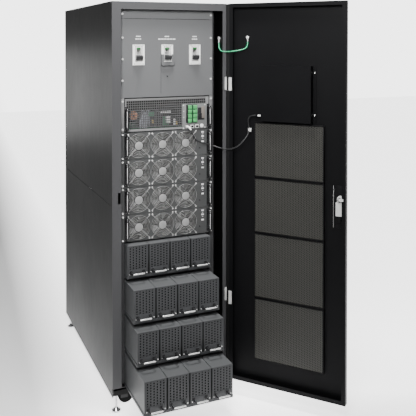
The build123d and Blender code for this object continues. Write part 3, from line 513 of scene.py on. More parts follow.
# ------------------------------------------------------------------ cabinet
for node, finish in (
    ("cabinet_frame", post_paint_lit_and_shaded),
    ("side_panels", cabinet_paint),
    ("rear_panels", cabinet_paint),
    ("roof_panel", roof_paint),
    ("front_panels", blank_paint),
    ("rack_rails", rail_paint),
    ("module_shelves", zinc),
    ("frame_hinges", hinge_zinc),
    ("door_hinge_leaves", hinge_zinc),
    ("circuit_breakers", white_plastic),
    ("fasteners", screw_metal),
):
    dress(node, finish)
lever_plastic = moulded_plastic("lever_plastic", (0.24, 0.24, 0.24), 0.4)
knob_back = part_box("input_lever")[0][1] + 0.013
painted_shade_and_two_tone(lever_plastic, lever_plastic.along((0, 1, 0)) < knob_back, (0.014, 0.014, 0.015))
for lever in ("input_lever", "bypass_lever", "output_lever"):
    dress(lever, lever_plastic)


def breaker_details():
    flags = bmesh.new()
    rims_and_shade_backing = bmesh.new()
    marks = bmesh.new()
    for x in BREAKER_COLUMNS:
        bar(
            flags, (x - 0.010, x + 0.010), (-0.5245, -0.5185),
            (BREAKER_LEVEL + 0.0265, BREAKER_LEVEL + 0.0345), 0.0008,
        )
        for side in (-1, 1):
            bar(rims_and_shade_backing, (x + side * 0.0165 - 0.0022, x + side * 0.0165 + 0.0022), BREAKER_FACE,
                (BREAKER_LEVEL - 0.032, BREAKER_LEVEL + 0.042), 0.0005)
            for z in (-0.044, 0.046):
                screw_head(
                    rims_and_shade_backing, (x + side * 0.022, -0.525, BREAKER_LEVEL + z), (0, -1, 0), 0.0028,
                    0.0012,
                )
        for end in (-0.030, 0.044):
            bar(
                rims_and_shade_backing, (x - 0.0187, x + 0.0187), BREAKER_FACE,
                (BREAKER_LEVEL + end - 0.002, BREAKER_LEVEL + end + 0.002), 0.0005,
            )
        level = BREAKER_LEVEL + 0.088
        lower = 0.046 if x == BREAKER_COLUMNS[1] else 0.015
        for width, drop in ((0.012, 0.0), (lower, 0.013)):
            count = 6 if width > 0.03 else 3
            for part in range(count):
                left = x - width + part * 2 * width / count
                bar(
                    marks, (left, left + 1.7 * width / count),
                    (PANEL_FRONT - 0.0003, PANEL_FRONT + 0.0002),
                    (level - drop, level - drop + 0.005),
                )
    make("breaker_flags", flags, flag_green, "cabinet", "breaker_plastic")
    make("breaker_slot_rims", rims_and_shade_backing, grey_plastic, "cabinet", "breaker_plastic")
    make("panel_legends", marks, print_white, "cabinet", "panel_paint", smooth=False)
    seams = bmesh.new()
    bar(seams, (-0.0438, -0.0424), (PANEL_FRONT - 0.0004, PANEL_FRONT + 0.0003), (1.5300, 1.6840))
    drum(seams, (-0.010, PANEL_FRONT - 0.0004, 1.6150), (0, -1, 0), 0.0032, 0.0012)
    make("panel_seam", seams, black_plastic, "cabinet", "panel_paint")


breaker_details()


def hinge_screws():
    frame_side = bmesh.new()
    door_side = bmesh.new()
    for level in HINGE_LEVELS:
        for z in (-0.022, 0.022):
            screw_head(frame_side, (0.291, -0.553, level + z), (0, -1, 0), 0.0036, 0.002)
            screw_head(door_side, (0.006, -0.012, level + z), (-1, 0, 0), 0.0036, 0.002, DOOR)
    make("frame_hinge_screws", frame_side, screw_metal, "cabinet", "zinc")
    make("door_hinge_screws", door_side, screw_metal, "front_door", "zinc")


hinge_screws()


# ------------------------------------------------------------------ module handles and faces
def handle_pair(shape, highlight_strips, middle):
    """Two upright bail handles on their base strips, with a bright strip along each grip as a
    painted highlight.
    """
    for x in HANDLE_COLUMNS:
        ends = (middle - GRIP_HALF, middle + GRIP_HALF)
        bent_bar(
            shape,
            [
                (x, PANEL_FRONT, ends[0]), (x, GRIP_DEPTH, ends[0]), (x, GRIP_DEPTH, ends[1]),
                (x, PANEL_FRONT, ends[1]),
            ],
            GRIP_RADIUS, 0.014, 16,
        )
        bar(
            shape, (x - 0.0075, x + 0.0055), (PANEL_FRONT - 0.003, PANEL_FRONT),
            (ends[0] - 0.009, ends[1] + 0.009), 0.0012,
        )
        # Painted highlight: a bright strip on each grip's front face.
        bar(
            highlight_strips, (x - 0.0046, x - 0.0016), (-0.5588, -0.5570),
            (ends[0] + 0.014, ends[1] - 0.014), 0.0005,
        )


def fan_faceplate(shape, level):
    """A module's faceplate with a round opening in front of each fan."""
    middle = level + MODULE_PITCH / 2
    half = (FAN_PITCH / 2, MODULE_PITCH / 2 - 0.001)
    for x in FAN_COLUMNS:
        holed_tile(shape, x, middle, half, (FAN_BORE, FAN_BORE), 48, PANEL_FRONT)
    bmesh.ops.remove_doubles(shape, verts=shape.verts, dist=1e-5)
    edge_x = (FAN_COLUMNS[0] - half[0], FAN_COLUMNS[2] + half[0])
    for edge, end in zip(edge_x, (RACK_CENTER - EAR, RACK_CENTER + EAR)):
        side = [e for e in shape.edges if all(abs(v.co.x - edge) < 1e-5 for v in e.verts)]
        push(shape, side, (end - edge, 0, 0))
    thicken(shape, SHEET)


def power_module(number):
    level = MODULE_LEVELS[number - 1]
    middle = level + MODULE_PITCH / 2
    body = f"power_module_{number}"
    face = bmesh.new()
    fan_faceplate(face, level)
    make(f"module_{number}_faceplate", face, module_paint, body, "module_paint", f"{body}_front")

    guards = bmesh.new()
    for x in FAN_COLUMNS:
        center = (x, PANEL_FRONT - 0.0012, middle)
        for radius in GUARD_RINGS:
            ring(guards, center, radius, GUARD_WIRE, 40, 6)
        drum(guards, center, (0, 1, 0), HUB, 0.0022, 32, 0.0006)
        for way in (45, 135, 225, 315):
            out = Vector((cos(radians(way)), 0, sin(radians(way))))
            spoke = [Vector(center) + out * reach for reach in (HUB - 0.002, SPOKE_REACH)]
            drum(guards, (spoke[0] + spoke[1]) / 2, out, 0.0013, (spoke[1] - spoke[0]).length, 8)
            drum(guards, spoke[1] + Vector((0, 0.0002, 0)), (0, 1, 0), 0.0034, 0.0024, 14, 0.0004)
    make(f"module_{number}_finger_guards", guards, guard_metal, body, "screw_steel")

    handles, highlight_strips = bmesh.new(), bmesh.new()
    handle_pair(handles, highlight_strips, middle)
    make(f"module_{number}_handles", handles, handle_plastic, body, "black_plastic")
    # Painted highlight: the bright strips along this module's grips.
    make(f"module_{number}_grip_painted_highlights", highlight_strips, highlight_strip_metal, body, "screw_steel")

    screws = bmesh.new()
    for x in HOLE_COLUMNS:
        for z in (level + 0.009, level + MODULE_PITCH - 0.009):
            screw_head(screws, (x, PANEL_FRONT, z), (0, -1, 0), 0.005, 0.003)
    for left, right in zip(FAN_COLUMNS, FAN_COLUMNS[1:]):
        for side in (-0.0075, 0.0075):
            for z in (level + 0.0085, level + MODULE_PITCH - 0.0085):
                screw_head(
                    screws, ((left + right) / 2 + side, PANEL_FRONT, z), (0, -1, 0), 0.0038, 0.002
                )
    for z in (level + 0.0085, level + MODULE_PITCH - 0.0085):
        screw_head(screws, (-0.2115, PANEL_FRONT, z), (0, -1, 0), 0.0038, 0.002)
        screw_head(screws, (0.1440, PANEL_FRONT, z), (0, -1, 0), 0.0038, 0.002)
    make(f"module_{number}_screws", screws, screw_metal, body, "screw_steel")

    lamps = bmesh.new()
    for rise in (0.117, 0.096, 0.069):
        bar(
            lamps, (0.1740, 0.1875), (PANEL_FRONT - 0.0008, PANEL_FRONT + 0.0005),
            (level + rise - 0.0036, level + rise + 0.0036), 0.0006,
        )
    for rise in (0.1065, 0.0855):
        bar(
            lamps, (0.1775, 0.1845), (PANEL_FRONT - 0.0004, PANEL_FRONT + 0.0004),
            (level + rise - 0.001, level + rise + 0.001),
        )
    make(f"module_{number}_lamps", lamps, print_white, body, "module_paint")
    recess = bmesh.new()
    ring(recess, (0.164, PANEL_FRONT - 0.0004, level + 0.037), 0.0034, 0.0009, 20, 6)
    drum(recess, (0.164, PANEL_FRONT, level + 0.037), (0, 1, 0), 0.0032, 0.0008, 18)
    make(f"module_{number}_reset_hole", recess, black_plastic, body, "black_plastic")
    dress(f"{body}_chassis", module_cases[number - 1])
    for fan in "abc":
        dress(f"{body}_fan_{fan}", fan_plastic)


def module_case(number):
    """Plated sheet, with the black housings of the fans behind the faceplate."""
    case = zinc_plate(f"module_case_{number}", (0.3, 0.3, 0.3), 0.42)
    middle = MODULE_LEVELS[number - 1] + MODULE_PITCH / 2
    half_width, half_height = 0.1835, 0.0597
    depth = case.along((0, 1, 0)) < HOUSING_BACK
    width = case.along((1, 0, 0), (FAN_COLUMNS[1], 0, 0)).size() < half_width
    height = case.along((0, 0, 1), (0, 0, middle)).size() < half_height
    housing = depth * width * height
    painted_shade_and_two_tone(case, housing, (0.02, 0.02, 0.02))
    case.set("Metallic", 1 - housing)
    return case


module_cases = [module_case(number) for number in range(1, 5)]
for number in range(1, 5):
    power_module(number)


# ------------------------------------------------------------------ bypass module
def bypass_module():
    low, high = BYPASS_BOTTOM + 0.001, BYPASS_TOP - 0.001
    window_x = (CASE_LEFT + 0.006, CASE_RIGHT - 0.016)
    window_z = (BYPASS_BOTTOM + 0.014, BYPASS_TOP - 0.014)
    face = bmesh.new()
    left, right = RACK_CENTER - EAR, RACK_CENTER + EAR
    depth = (PANEL_FRONT, RAIL_FRONT)
    bar(face, (left, window_x[0]), depth, (low, high), 0.0006)
    bar(face, (window_x[1], right), depth, (low, high), 0.0006)
    bar(face, (window_x[0] - 0.001, window_x[1] + 0.001), depth, (low, window_z[0]), 0.0006)
    bar(face, (window_x[0] - 0.001, window_x[1] + 0.001), depth, (window_z[1], high), 0.0006)
    make("bypass_faceplate", face, bezel_paint, "cabinet", "panel_paint", "bypass_chassis")
    # Painted shadow: black lines in front of the gaps around the bypass module's edges.
    shadow = bmesh.new()
    gap_y = (PANEL_FRONT - 0.0006, PANEL_FRONT + 0.0006)
    sides = (CASE_LEFT - 0.0045, CASE_RIGHT + 0.0045)
    bar(shadow, sides, gap_y, (BYPASS_BOTTOM + 0.0003, BYPASS_BOTTOM + 0.0035))
    bar(shadow, sides, gap_y, (BYPASS_TOP - 0.0035, BYPASS_TOP + 0.0015))
    for x in (sides[0], sides[1] - 0.004):
        bar(shadow, (x, x + 0.004), gap_y, (BYPASS_BOTTOM + 0.0003, BYPASS_TOP))
    make("bypass_edge_shadow_lines", shadow, rubber, "cabinet", "panel_paint")

    screen = bmesh.new()
    perforated(
        screen, window_x, window_z, PANEL_FRONT + 0.0004, (0.011, 0.011), (0.0057, 0.0057), 4,
        False,
    )
    thicken(screen, 0.001)
    make("bypass_mesh", screen, mesh_paint, "cabinet", "panel_paint", smooth=False)

    case = bmesh.new()
    back = RAIL_FRONT + 0.450
    floor_z = (BYPASS_BOTTOM + 0.0018, BYPASS_BOTTOM + 0.0033)
    roof_z = (BYPASS_TOP - 0.0025, BYPASS_TOP - 0.001)
    side_z = (floor_z[1] - 0.0002, roof_z[0] + 0.0002)
    bar(case, (CASE_LEFT, CASE_RIGHT), (RAIL_FRONT, back), floor_z)
    bar(case, (CASE_LEFT, CASE_RIGHT), (RAIL_FRONT, back), roof_z)
    bar(case, (CASE_LEFT, CASE_LEFT + 0.0015), (RAIL_FRONT, back), side_z)
    bar(case, (CASE_RIGHT - 0.0015, CASE_RIGHT), (RAIL_FRONT, back), side_z)
    bar(case, (CASE_LEFT + 0.0015, CASE_RIGHT - 0.0015), (back - 0.0015, back), side_z)
    make("bypass_case", case, case_dark, "cabinet", "panel_paint", smooth=False)

    handles, highlight_strips = bmesh.new(), bmesh.new()
    handle_pair(handles, highlight_strips, (BYPASS_BOTTOM + BYPASS_TOP) / 2 - BYPASS_GRIP_DROP)
    make("bypass_handles", handles, handle_plastic, "cabinet", "black_plastic")
    # Painted highlight: the bright strips along the bypass module's grips.
    make("bypass_grip_inlays", highlight_strips, highlight_strip_metal, "cabinet", "screw_steel")
    bypass_insides(floor_z[1])


def bypass_insides(floor):
    board = bmesh.new()
    bar(
        board, (CASE_LEFT + 0.010, CASE_RIGHT - 0.010), (-0.458, -0.188), (floor, floor + 0.003),
        0.0005,
    )
    bar(board, (-0.098, -0.070), (-0.492, -0.489), (floor + 0.070, floor + 0.092), 0.0006)
    bar(board, (-0.020, 0.030), (-0.440, -0.437), (floor + 0.010, floor + 0.060), 0.0006)
    make("bypass_boards", board, board_green, "cabinet", "panel_paint")

    coil = bmesh.new()
    for turn in range(16):
        way = 2 * pi * turn / 16
        out = Vector((cos(way), 0, sin(way)))
        center = Vector((-0.172, -0.480, floor + 0.074)) + out * 0.014
        ring(coil, center, 0.0075, 0.0022, 16, 6, (-sin(way), 0, cos(way)))
    make("bypass_coil", coil, copper, "cabinet", "panel_paint")

    cans = bmesh.new()
    for column in range(3):
        for rank in range(2):
            center = (-0.111 + column * 0.044, -0.433 + rank * 0.050, floor + 0.047)
            drum(cans, center, (0, 0, 1), 0.018, 0.078, 28, 0.0015)
    make("bypass_capacitors", cans, black_plastic, "cabinet", "panel_paint")

    fins = bmesh.new()
    bar(fins, (0.033, 0.193), (-0.418, -0.218), (floor + 0.008, floor + 0.022), 0.001)
    for fin in range(20):
        x = 0.036 + fin * 0.0081
        bar(fins, (x, x + 0.0022), (-0.418, -0.218), (floor + 0.022, floor + 0.098))
    make("bypass_heatsink", fins, case_dark, "cabinet", "panel_paint", smooth=False)

    wires = bmesh.new()
    for number in range(7):
        x = -0.146 + number * 0.0062
        rise = 0.055 + 0.013 * ((number * 3) % 4)
        bent_bar(
            wires,
            [
                (x, -0.488, floor + 0.012), (x + 0.004, -0.494, floor + rise),
                (x + 0.020, -0.486, floor + rise + 0.010), (x + 0.024, -0.460, floor + 0.020),
            ],
            0.0021, 0.006, 8,
        )
    make("bypass_leads", wires, silver_wire, "cabinet", "panel_paint")

    blocks = bmesh.new()
    for number in range(7):
        x = -0.036 + number * 0.0078
        bar(blocks, (x, x + 0.0062), (-0.496, -0.486), (floor + 0.083, floor + 0.093), 0.0008)
    bar(blocks, (0.000, 0.016), (-0.492, -0.470), (floor + 0.028, floor + 0.064), 0.002)
    bar(blocks, (0.036, 0.043), (-0.500, -0.484), (floor + 0.018, floor + 0.050), 0.001)
    make("bypass_connectors", blocks, white_plastic, "cabinet", "panel_paint")
    chips = bmesh.new()
    bar(chips, (-0.082, -0.075), (-0.498, -0.490), (floor + 0.034, floor + 0.050), 0.001)
    bar(chips, (0.047, 0.055), (-0.498, -0.486), (floor + 0.022, floor + 0.036), 0.001)
    make("bypass_film_capacitors", chips, amber_plastic, "cabinet", "panel_paint")


bypass_module()


def communication_panel():
    left, low = RACK_CENTER + 0.076, BYPASS_BOTTOM + 0.0024
    front = PANEL_FRONT - 0.003
    plate = bmesh.new()
    bar(plate, (left, left + 0.129), (front, PANEL_FRONT), (low, low + 0.126), 0.0007)
    make("comm_plate", plate, comm_paint, "cabinet", "comm_paint", "comm_panel")
    terminals = bmesh.new()
    recesses = bmesh.new()
    bar(
        recesses, (left + 0.020, left + 0.079), (front - 0.002, front), (low + 0.031, low + 0.123),
        0.0006,
    )
    for column in (-0.5, 0.5):
        for rank in (-1.5, -0.5, 0.5, 1.5):
            x, z = left + 0.051 + column * 0.0275, low + 0.077 + rank * 0.0223
            bar(
                terminals, (x - 0.0095, x + 0.0115), (front - 0.012, front - 0.001),
                (z - 0.0088, z + 0.0088), 0.0008,
            )
            bar(
                terminals, (x - 0.0095, x + 0.0115), (front - 0.008, front - 0.0015),
                (z - 0.0098, z - 0.0086), 0.0003,
            )
            bar(
                recesses, (x - 0.0128, x - 0.0098), (front - 0.0115, front - 0.001),
                (z - 0.0088, z + 0.0088), 0.0004,
            )
            for pole in range(4):
                at = x - 0.0065 + pole * 0.0052
                drum(recesses, (at, front - 0.0121, z + 0.0038), (0, 1, 0), 0.0014, 0.0008, 10)
                bar(
                    recesses, (at - 0.0013, at + 0.0013), (front - 0.0124, front - 0.0118),
                    (z - 0.0056, z - 0.0026),
                )
    make("comm_terminals", terminals, green_plastic, "cabinet", "comm_paint")
    make("comm_terminal_openings", recesses, black_plastic, "cabinet", "comm_paint")
    dark = bmesh.new()
    bar(
        dark, (left + 0.084, left + 0.120), (front - 0.001, front + 0.0005),
        (low + 0.044, low + 0.106), 0.0004,
    )
    bar(
        dark, (left + 0.086, left + 0.104), (front - 0.006, front), (low + 0.050, low + 0.078),
        0.001,
    )
    for at in (0.052, 0.078):
        bar(
            dark, (left + at - 0.0065, left + at + 0.0065), (front - 0.0052, front - 0.0045),
            (low + 0.0075, low + 0.0175),
        )
    make("comm_openings", dark, black_plastic, "cabinet", "comm_paint")
    card = bmesh.new()
    bar(
        card, (left + 0.103, left + 0.1215), (front - 0.004, front), (low + 0.052, low + 0.112),
        0.001,
    )
    make("comm_card", card, card_plastic, "cabinet", "comm_paint")
    light = bmesh.new()
    for at in (0.052, 0.078):
        bar(
            light, (left + at - 0.009, left + at + 0.009), (front - 0.0048, front),
            (low + 0.0055, low + 0.0205), 0.0008,
        )
    drum(light, (left + 0.105, front - 0.0025, low + 0.015), (0, 1, 0), 0.009, 0.005, 28, 0.0008)
    make("comm_ports", light, white_plastic, "cabinet", "comm_paint")
    pins = bmesh.new()
    for x, z in ((0.006, 0.006), (0.123, 0.006), (0.006, 0.120), (0.123, 0.120)):
        screw_head(pins, (left + x, front, low + z), (0, -1, 0), 0.0036, 0.0018)
    for x, z in ((0.008, 0.060), (0.008, 0.090), (0.024, 0.060)):
        screw_head(pins, (left + x, front, low + z), (0, -1, 0), 0.0028, 0.0012)
    make("comm_screws", pins, screw_metal, "cabinet", "screw_steel")
    plug = bmesh.new()
    bar(
        plug, (left + 0.018, left + 0.030), (front - 0.012, front), (low + 0.008, low + 0.018),
        0.001,
    )
    drum(
        plug, (left + 0.024, front - 0.0155, low + 0.013), (0, -1, 0), 0.0050, 0.009, 20, 0.0006,
        taper=0.72,
    )
    return make("comm_plug", plug, white_plastic, "cabinet", "comm_paint")


comm_plug = communication_panel()


# ------------------------------------------------------------------ battery rows
def battery_row(number):
    level, front = ROW_LEVELS[number - 1], PANEL_FRONT - ROW_DRAW[number - 1]
    body = f"battery_row_{number}"
    floor, crown = level + 0.0263, level + 4 * RACK_UNIT - 0.008
    hole_z = (level + 0.054, crown - 0.005)
    tray_x = (PACK_LEFT - 0.002, PACK_LEFT + 3 * PACK_STEP + PACK_WIDTH + 0.002)

    tray = bmesh.new()
    bar(tray, tray_x, (front - SHEET, front), (level + 0.012, level + 0.026), 0.0006)
    bar(tray, tray_x, (front, front + TRAY_LENGTH), (level + 0.024, level + 0.026), 0.0004)
    for x in tray_x:
        inner = x + (SHEET if x < 0 else -SHEET)
        bar(
            tray, tuple(sorted((x, inner))), (front, front + TRAY_LENGTH),
            (level + 0.012, level + 0.0245), 0.0004,
        )
    make(
        f"row_{number}_tray", tray, pack_front_paint, body, "pack_front",
        f"battery_fronts_{number}",
    )

    plates, sheets, dark_backings, bails, bail_highlights, gap_shades, screws = (bmesh.new() for _ in range(7))
    for pack in range(4):
        left = PACK_LEFT + pack * PACK_STEP
        right = left + PACK_WIDTH
        depth = (front - SHEET, front)
        bar(plates, (left, left + 0.009), depth, (floor, crown), 0.0005)
        bar(plates, (right - 0.009, right), depth, (floor, crown), 0.0005)
        bar(plates, (left + 0.008, right - 0.008), depth, (floor, hole_z[0] + 0.001), 0.0005)
        bar(plates, (left + 0.008, right - 0.008), depth, (hole_z[1] - 0.001, crown), 0.0005)
        sheet = bmesh.new()
        perforated(sheet, (left + 0.007, right - 0.007), (hole_z[0] - 0.004, hole_z[1] + 0.004),
                   front - 0.0014, (0.0150, 0.0125), (0.0037, 0.0046), 8, True)
        thicken(sheet, 0.0008)
        joined = bpy.data.meshes.new("joined")
        sheet.to_mesh(joined)
        sheet.free()
        sheets.from_mesh(joined)
        bpy.data.meshes.remove(joined)
        # Painted shade: a near-black sheet behind each pack's perforated sheet darkens its holes.
        bar(
            dark_backings, (left + 0.006, right - 0.006), (front + 0.0035, front + 0.0065),
            (floor + 0.006, crown - 0.003), 0.0006,
        )
        grip = left + PACK_WIDTH / 2 - 0.005
        rise = level + BAIL_RISE
        reach = front - BAIL_REACH
        bent_bar(
            bails,
            [
                (grip - BAIL_HALF, front - SHEET, rise), (grip - BAIL_HALF, reach, rise),
                (grip + BAIL_HALF, reach, rise), (grip + BAIL_HALF, front - SHEET, rise),
            ],
            0.0034, 0.008, 12,
        )
        # Painted highlight: the bright sleeve over each bail's crossbar, with the rest of the bail
        # black, stands for the lit and dark reflections of one metal bail.
        drum(bail_highlights, (grip, reach, rise), (1, 0, 0), 0.0038, 0.056, 16, 0.0006)
        for side in (-BAIL_HALF, BAIL_HALF):
            bar(bails, (grip + side - 0.007, grip + side + 0.007), (front - 0.006, front - 0.001),
                (rise - 0.008, rise + 0.008), 0.0012)
        # Painted shade: a black strip over the gap between neighbouring packs.
        if pack:
            bar(
                gap_shades, (left - 0.0048, left + 0.0016), (front - 0.0032, front - 0.0012),
                (floor, crown), 0.0003,
            )
        screw_head(screws, (left + 0.011, front - SHEET, level + 0.0335), (0, -1, 0), 0.0028, 0.002)
        screw_head(
            screws, (right - 0.009, front - SHEET, level + 0.0335), (0, -1, 0), 0.0028, 0.002
        )
    make(f"row_{number}_fronts", plates, pack_front_paint, body, "pack_front")
    make(
        f"row_{number}_perforated_sheets", sheets, pack_front_paint, body, "pack_front",
        smooth=False,
    )
    make(f"row_{number}_liners", dark_backings, filter_and_shade_black, body, "pack_front")
    make(f"row_{number}_bails", bails, black_plastic, body, "black_plastic")
    make(f"row_{number}_bail_painted_highlights", bail_highlights, bail_highlight_metal, body, "screw_steel")
    make(f"row_{number}_gap_painted_shade", gap_shades, rubber, body, "pack_front")
    make(f"row_{number}_screws", screws, screw_metal, body, "screw_steel")
    dress(f"battery_cases_{number}", pack_paint)


for number in range(1, 5):
    battery_row(number)


# ------------------------------------------------------------------ door
dress("door_shell", door_paint)
dress("display_box", display_paint)


def door_vents():
    frames, dark_backings = bmesh.new(), bmesh.new()
    for number, (low, high) in enumerate(zip(VENT_LEVELS, VENT_LEVELS[1:]), start=1):
        z = (low + 0.0015, high - 0.0015)
        depth = (-0.008, DOOR_SKIN)
        for side in (-1, 1):
            outer = VENT_REACH[0] if side < 0 else VENT_REACH[1]
            reach = tuple(sorted((outer, outer - side * 0.005)))
            bar(frames, reach, depth, z, 0.0008, DOOR)
        for z_end in ((z[0], z[0] + 0.005), (z[1] - 0.005, z[1])):
            bar(frames, (VENT_REACH[0] + 0.004, VENT_REACH[1] - 0.004), depth, z_end, 0.0008, DOOR)
        bar(
            dark_backings, (VENT_REACH[0] + 0.005, VENT_REACH[1] - 0.005), (-0.002, 0.006),
            (z[0] + 0.005, z[1] - 0.005), 0.001, DOOR,
        )
        sheet = bmesh.new()
        perforated(
            sheet, (VENT_REACH[0] + 0.003, VENT_REACH[1] - 0.003), (z[0] + 0.003, z[1] - 0.003),
            -0.0068, (0.0078, 0.0086), (0.0028, 0.0028), 8, True,
        )
        thicken(sheet, 0.0008)
        bmesh.ops.transform(sheet, matrix=DOOR, verts=sheet.verts)
        make(
            f"door_vent_mesh_{number}", sheet, vent_mesh, "front_door", "vent_plastic",
            smooth=False,
        )
    make("door_vent_frames", frames, door_paint, "front_door", "vent_plastic", "door_vents")
    make("door_vent_filters", dark_backings, filter_and_shade_black, "front_door", "vent_plastic")


door_vents()


def door_details():
    seal = bmesh.new()
    bar(seal, (-0.008, 0.0085), (-0.021, -0.017), (0.084, 1.976), 0.0008, DOOR)
    make("door_edge_seal", seal, rubber, "front_door", "door_paint")
    plate = bmesh.new()
    bar(plate, (0.537, 0.600), (LOCK_FACE, DOOR_SKIN), (0.905, 1.108), 0.0006, DOOR)
    for z in (0.918, 1.095):
        screw_head(plate, (0.5445, LOCK_FACE, z), (0, -1, 0), 0.0045, 0.0025, DOOR)
        screw_head(plate, (0.5915, LOCK_FACE, z), (0, -1, 0), 0.0045, 0.0025, DOOR)
    bar(plate, (0.556, 0.578), (-0.012, LOCK_FACE), (0.938, 0.966), 0.0016, DOOR)
    make("lock_plate", plate, door_paint, "front_door", "lock_zinc", "door_fittings")
    # Painted highlight: a thin light strip along the lock plate's left edge.
    edge_highlight = bmesh.new()
    bar(edge_highlight, (0.5362, 0.5378), (0.0045, DOOR_SKIN), (0.907, 1.106), 0.0003, DOOR)
    make("lock_plate_edge_highlight", edge_highlight, grey_plastic, "front_door", "lock_zinc")
    lock = bmesh.new()
    bar(lock, (0.552, 0.582), (-0.012, LOCK_FACE), (0.966, 1.030), 0.0016, DOOR)
    bar(lock, (0.572, 0.583), (-0.0135, LOCK_FACE), (0.970, 1.034), 0.001, DOOR)
    drum(lock, (HANDLE_REACH, -0.003, SPINDLE_LEVEL), (0, 1, 0), 0.0125, 0.018, 28, 0.001, DOOR)
    make("lock_case", lock, hinge_zinc, "front_door", "lock_zinc")
    base = bmesh.new()
    bar(base, (0.551, 0.591), (0.010, 0.016), (0.895, 1.105), 0.002, DOOR)
    make("handle_plate", base, black_plastic, "front_door", "handle_plastic")
    lever = bmesh.new()
    drum(lever, (HANDLE_REACH, -0.008, SPINDLE_LEVEL), (0, 1, 0), 0.005, 0.060, 20, 0.0005, DOOR)
    drum(lever, (HANDLE_REACH, 0.0185, SPINDLE_LEVEL), (0, 1, 0), 0.010, 0.005, 28, 0.0008, DOOR)
    bar(lever, (0.561, 0.581), (0.021, 0.034), (0.932, 1.063), 0.004, DOOR)
    cam = bmesh.new()
    bar(cam, (0.565, 0.595), (-0.038, -0.034), (1.043, 1.055), 0.001, DOOR)
    make("door_cam", cam, screw_metal, "door_latch_handle", "lock_zinc")
    make("door_lever", lever, handle_plastic, "door_latch_handle", "handle_plastic", "door_handle")
    screws = bmesh.new()
    for z in (1.435, 1.637):
        screw_head(screws, (0.4445, LOCK_FACE, z), (0, -1, 0), 0.0042, 0.0025, DOOR)
    for z in (1.898, 0.152):
        screw_head(screws, (0.5995, -0.022, z), (0, -1, 0), 0.0035, 0.002, DOOR)
    drum(screws, (STUD_REACH, 0.0045, 1.808), (0, 1, 0), 0.008, 0.007, 24, 0.001, DOOR)
    drum(screws, (STUD_REACH, 0.0005, 1.808), (0, 1, 0), 0.0042, 0.003, 6, 0.0004, DOOR)
    drum(screws, (STUD_REACH, 0.0045, 1.7975), (0, 0, 1), 0.0034, 0.021, 16, 0.0006, DOOR)
    make("door_screws", screws, screw_metal, "front_door", "screw_steel")
    clip = bmesh.new()
    bar(clip, (0.100, 0.116), (0.0005, DOOR_SKIN), (1.336, 1.354), 0.0012, DOOR)
    ring(clip, (0.108, -0.0034, 1.345), 0.0044, 0.0011, 20, 8, (0, 0, 1), DOOR)
    make("cable_clip", clip, white_plastic, "front_door", "lock_zinc")


door_details()


# ------------------------------------------------------------------ casters and feet
dress("levelling_feet", foot_chrome)
for number in range(1, 5):
    dress(f"caster_{number}_fork", black_plastic)
    dress(f"caster_{number}_wheel", rubber)


# ------------------------------------------------------------------ cables
def on_door(reach, outward, level):
    return tuple(DOOR @ Vector((reach, outward, level)))


def cable_line(name, points):
    """The cable's own smooth line, as a curve of one spline."""
    line = bpy.data.curves.new(name, "CURVE")
    line.dimensions = "3D"
    line.resolution_u = 8
    spline = line.splines.new("NURBS")
    spline.points.add(len(points) - 1)
    for control, point in zip(spline.points, points):
        control.co = (*point, 1.0)
    spline.order_u = 3
    spline.use_endpoint_u = True
    return line


def cable_tube(name, points, radius, finish, node):
    """A cable as a tube with a closed skin, and the points of its line."""
    line = cable_line(name, points)
    holder = bpy.data.objects.new(f"{name}_line", line)
    bpy.context.collection.objects.link(holder)
    depsgraph = bpy.context.evaluated_depsgraph_get()
    bare = bpy.data.meshes.new_from_object(holder.evaluated_get(depsgraph))
    path = [vert.co.copy() for vert in bare.vertices]
    line.bevel_depth = radius
    line.bevel_resolution = 4
    line.use_fill_caps = True
    depsgraph = bpy.context.evaluated_depsgraph_get()
    mesh = bpy.data.meshes.new_from_object(holder.evaluated_get(depsgraph))
    bpy.data.objects.remove(holder)
    bpy.data.meshes.remove(bare)
    mesh.materials.clear()
    mesh.materials.append(finish.material)
    mesh.shade_smooth()
    thing = bpy.data.objects.new(name, mesh)
    bpy.context.collection.objects.link(thing)
    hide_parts(node)
    return thing, path


def boot_along(name, path, length, wide, narrow):
    """A tapered boot over the start of a cable."""
    shape = bmesh.new()
    run, rings = 0.0, []
    for before, point in zip(path, path[1:]):
        run += (point - before).length
        if run > length:
            break
        if not rings or (point - rings[-1][0]).length > 0.0025:
            rings.append(
                (point, (point - before).normalized(), wide + (narrow - wide) * run / length)
            )
    loops = []
    for number, (point, ahead, radius) in enumerate(rings):
        made = bmesh.ops.create_circle(
            shape, segments=16, radius=radius, matrix=turned(point, ahead),
            cap_ends=number in (0, len(rings) - 1),
        )["verts"]
        loops.append(edges_of(made))
    for near, far in zip(loops, loops[1:]):
        bmesh.ops.bridge_loops(shape, edges=near + far)
    return make(name, shape, white_plastic, "cabinet", "grey_cable")


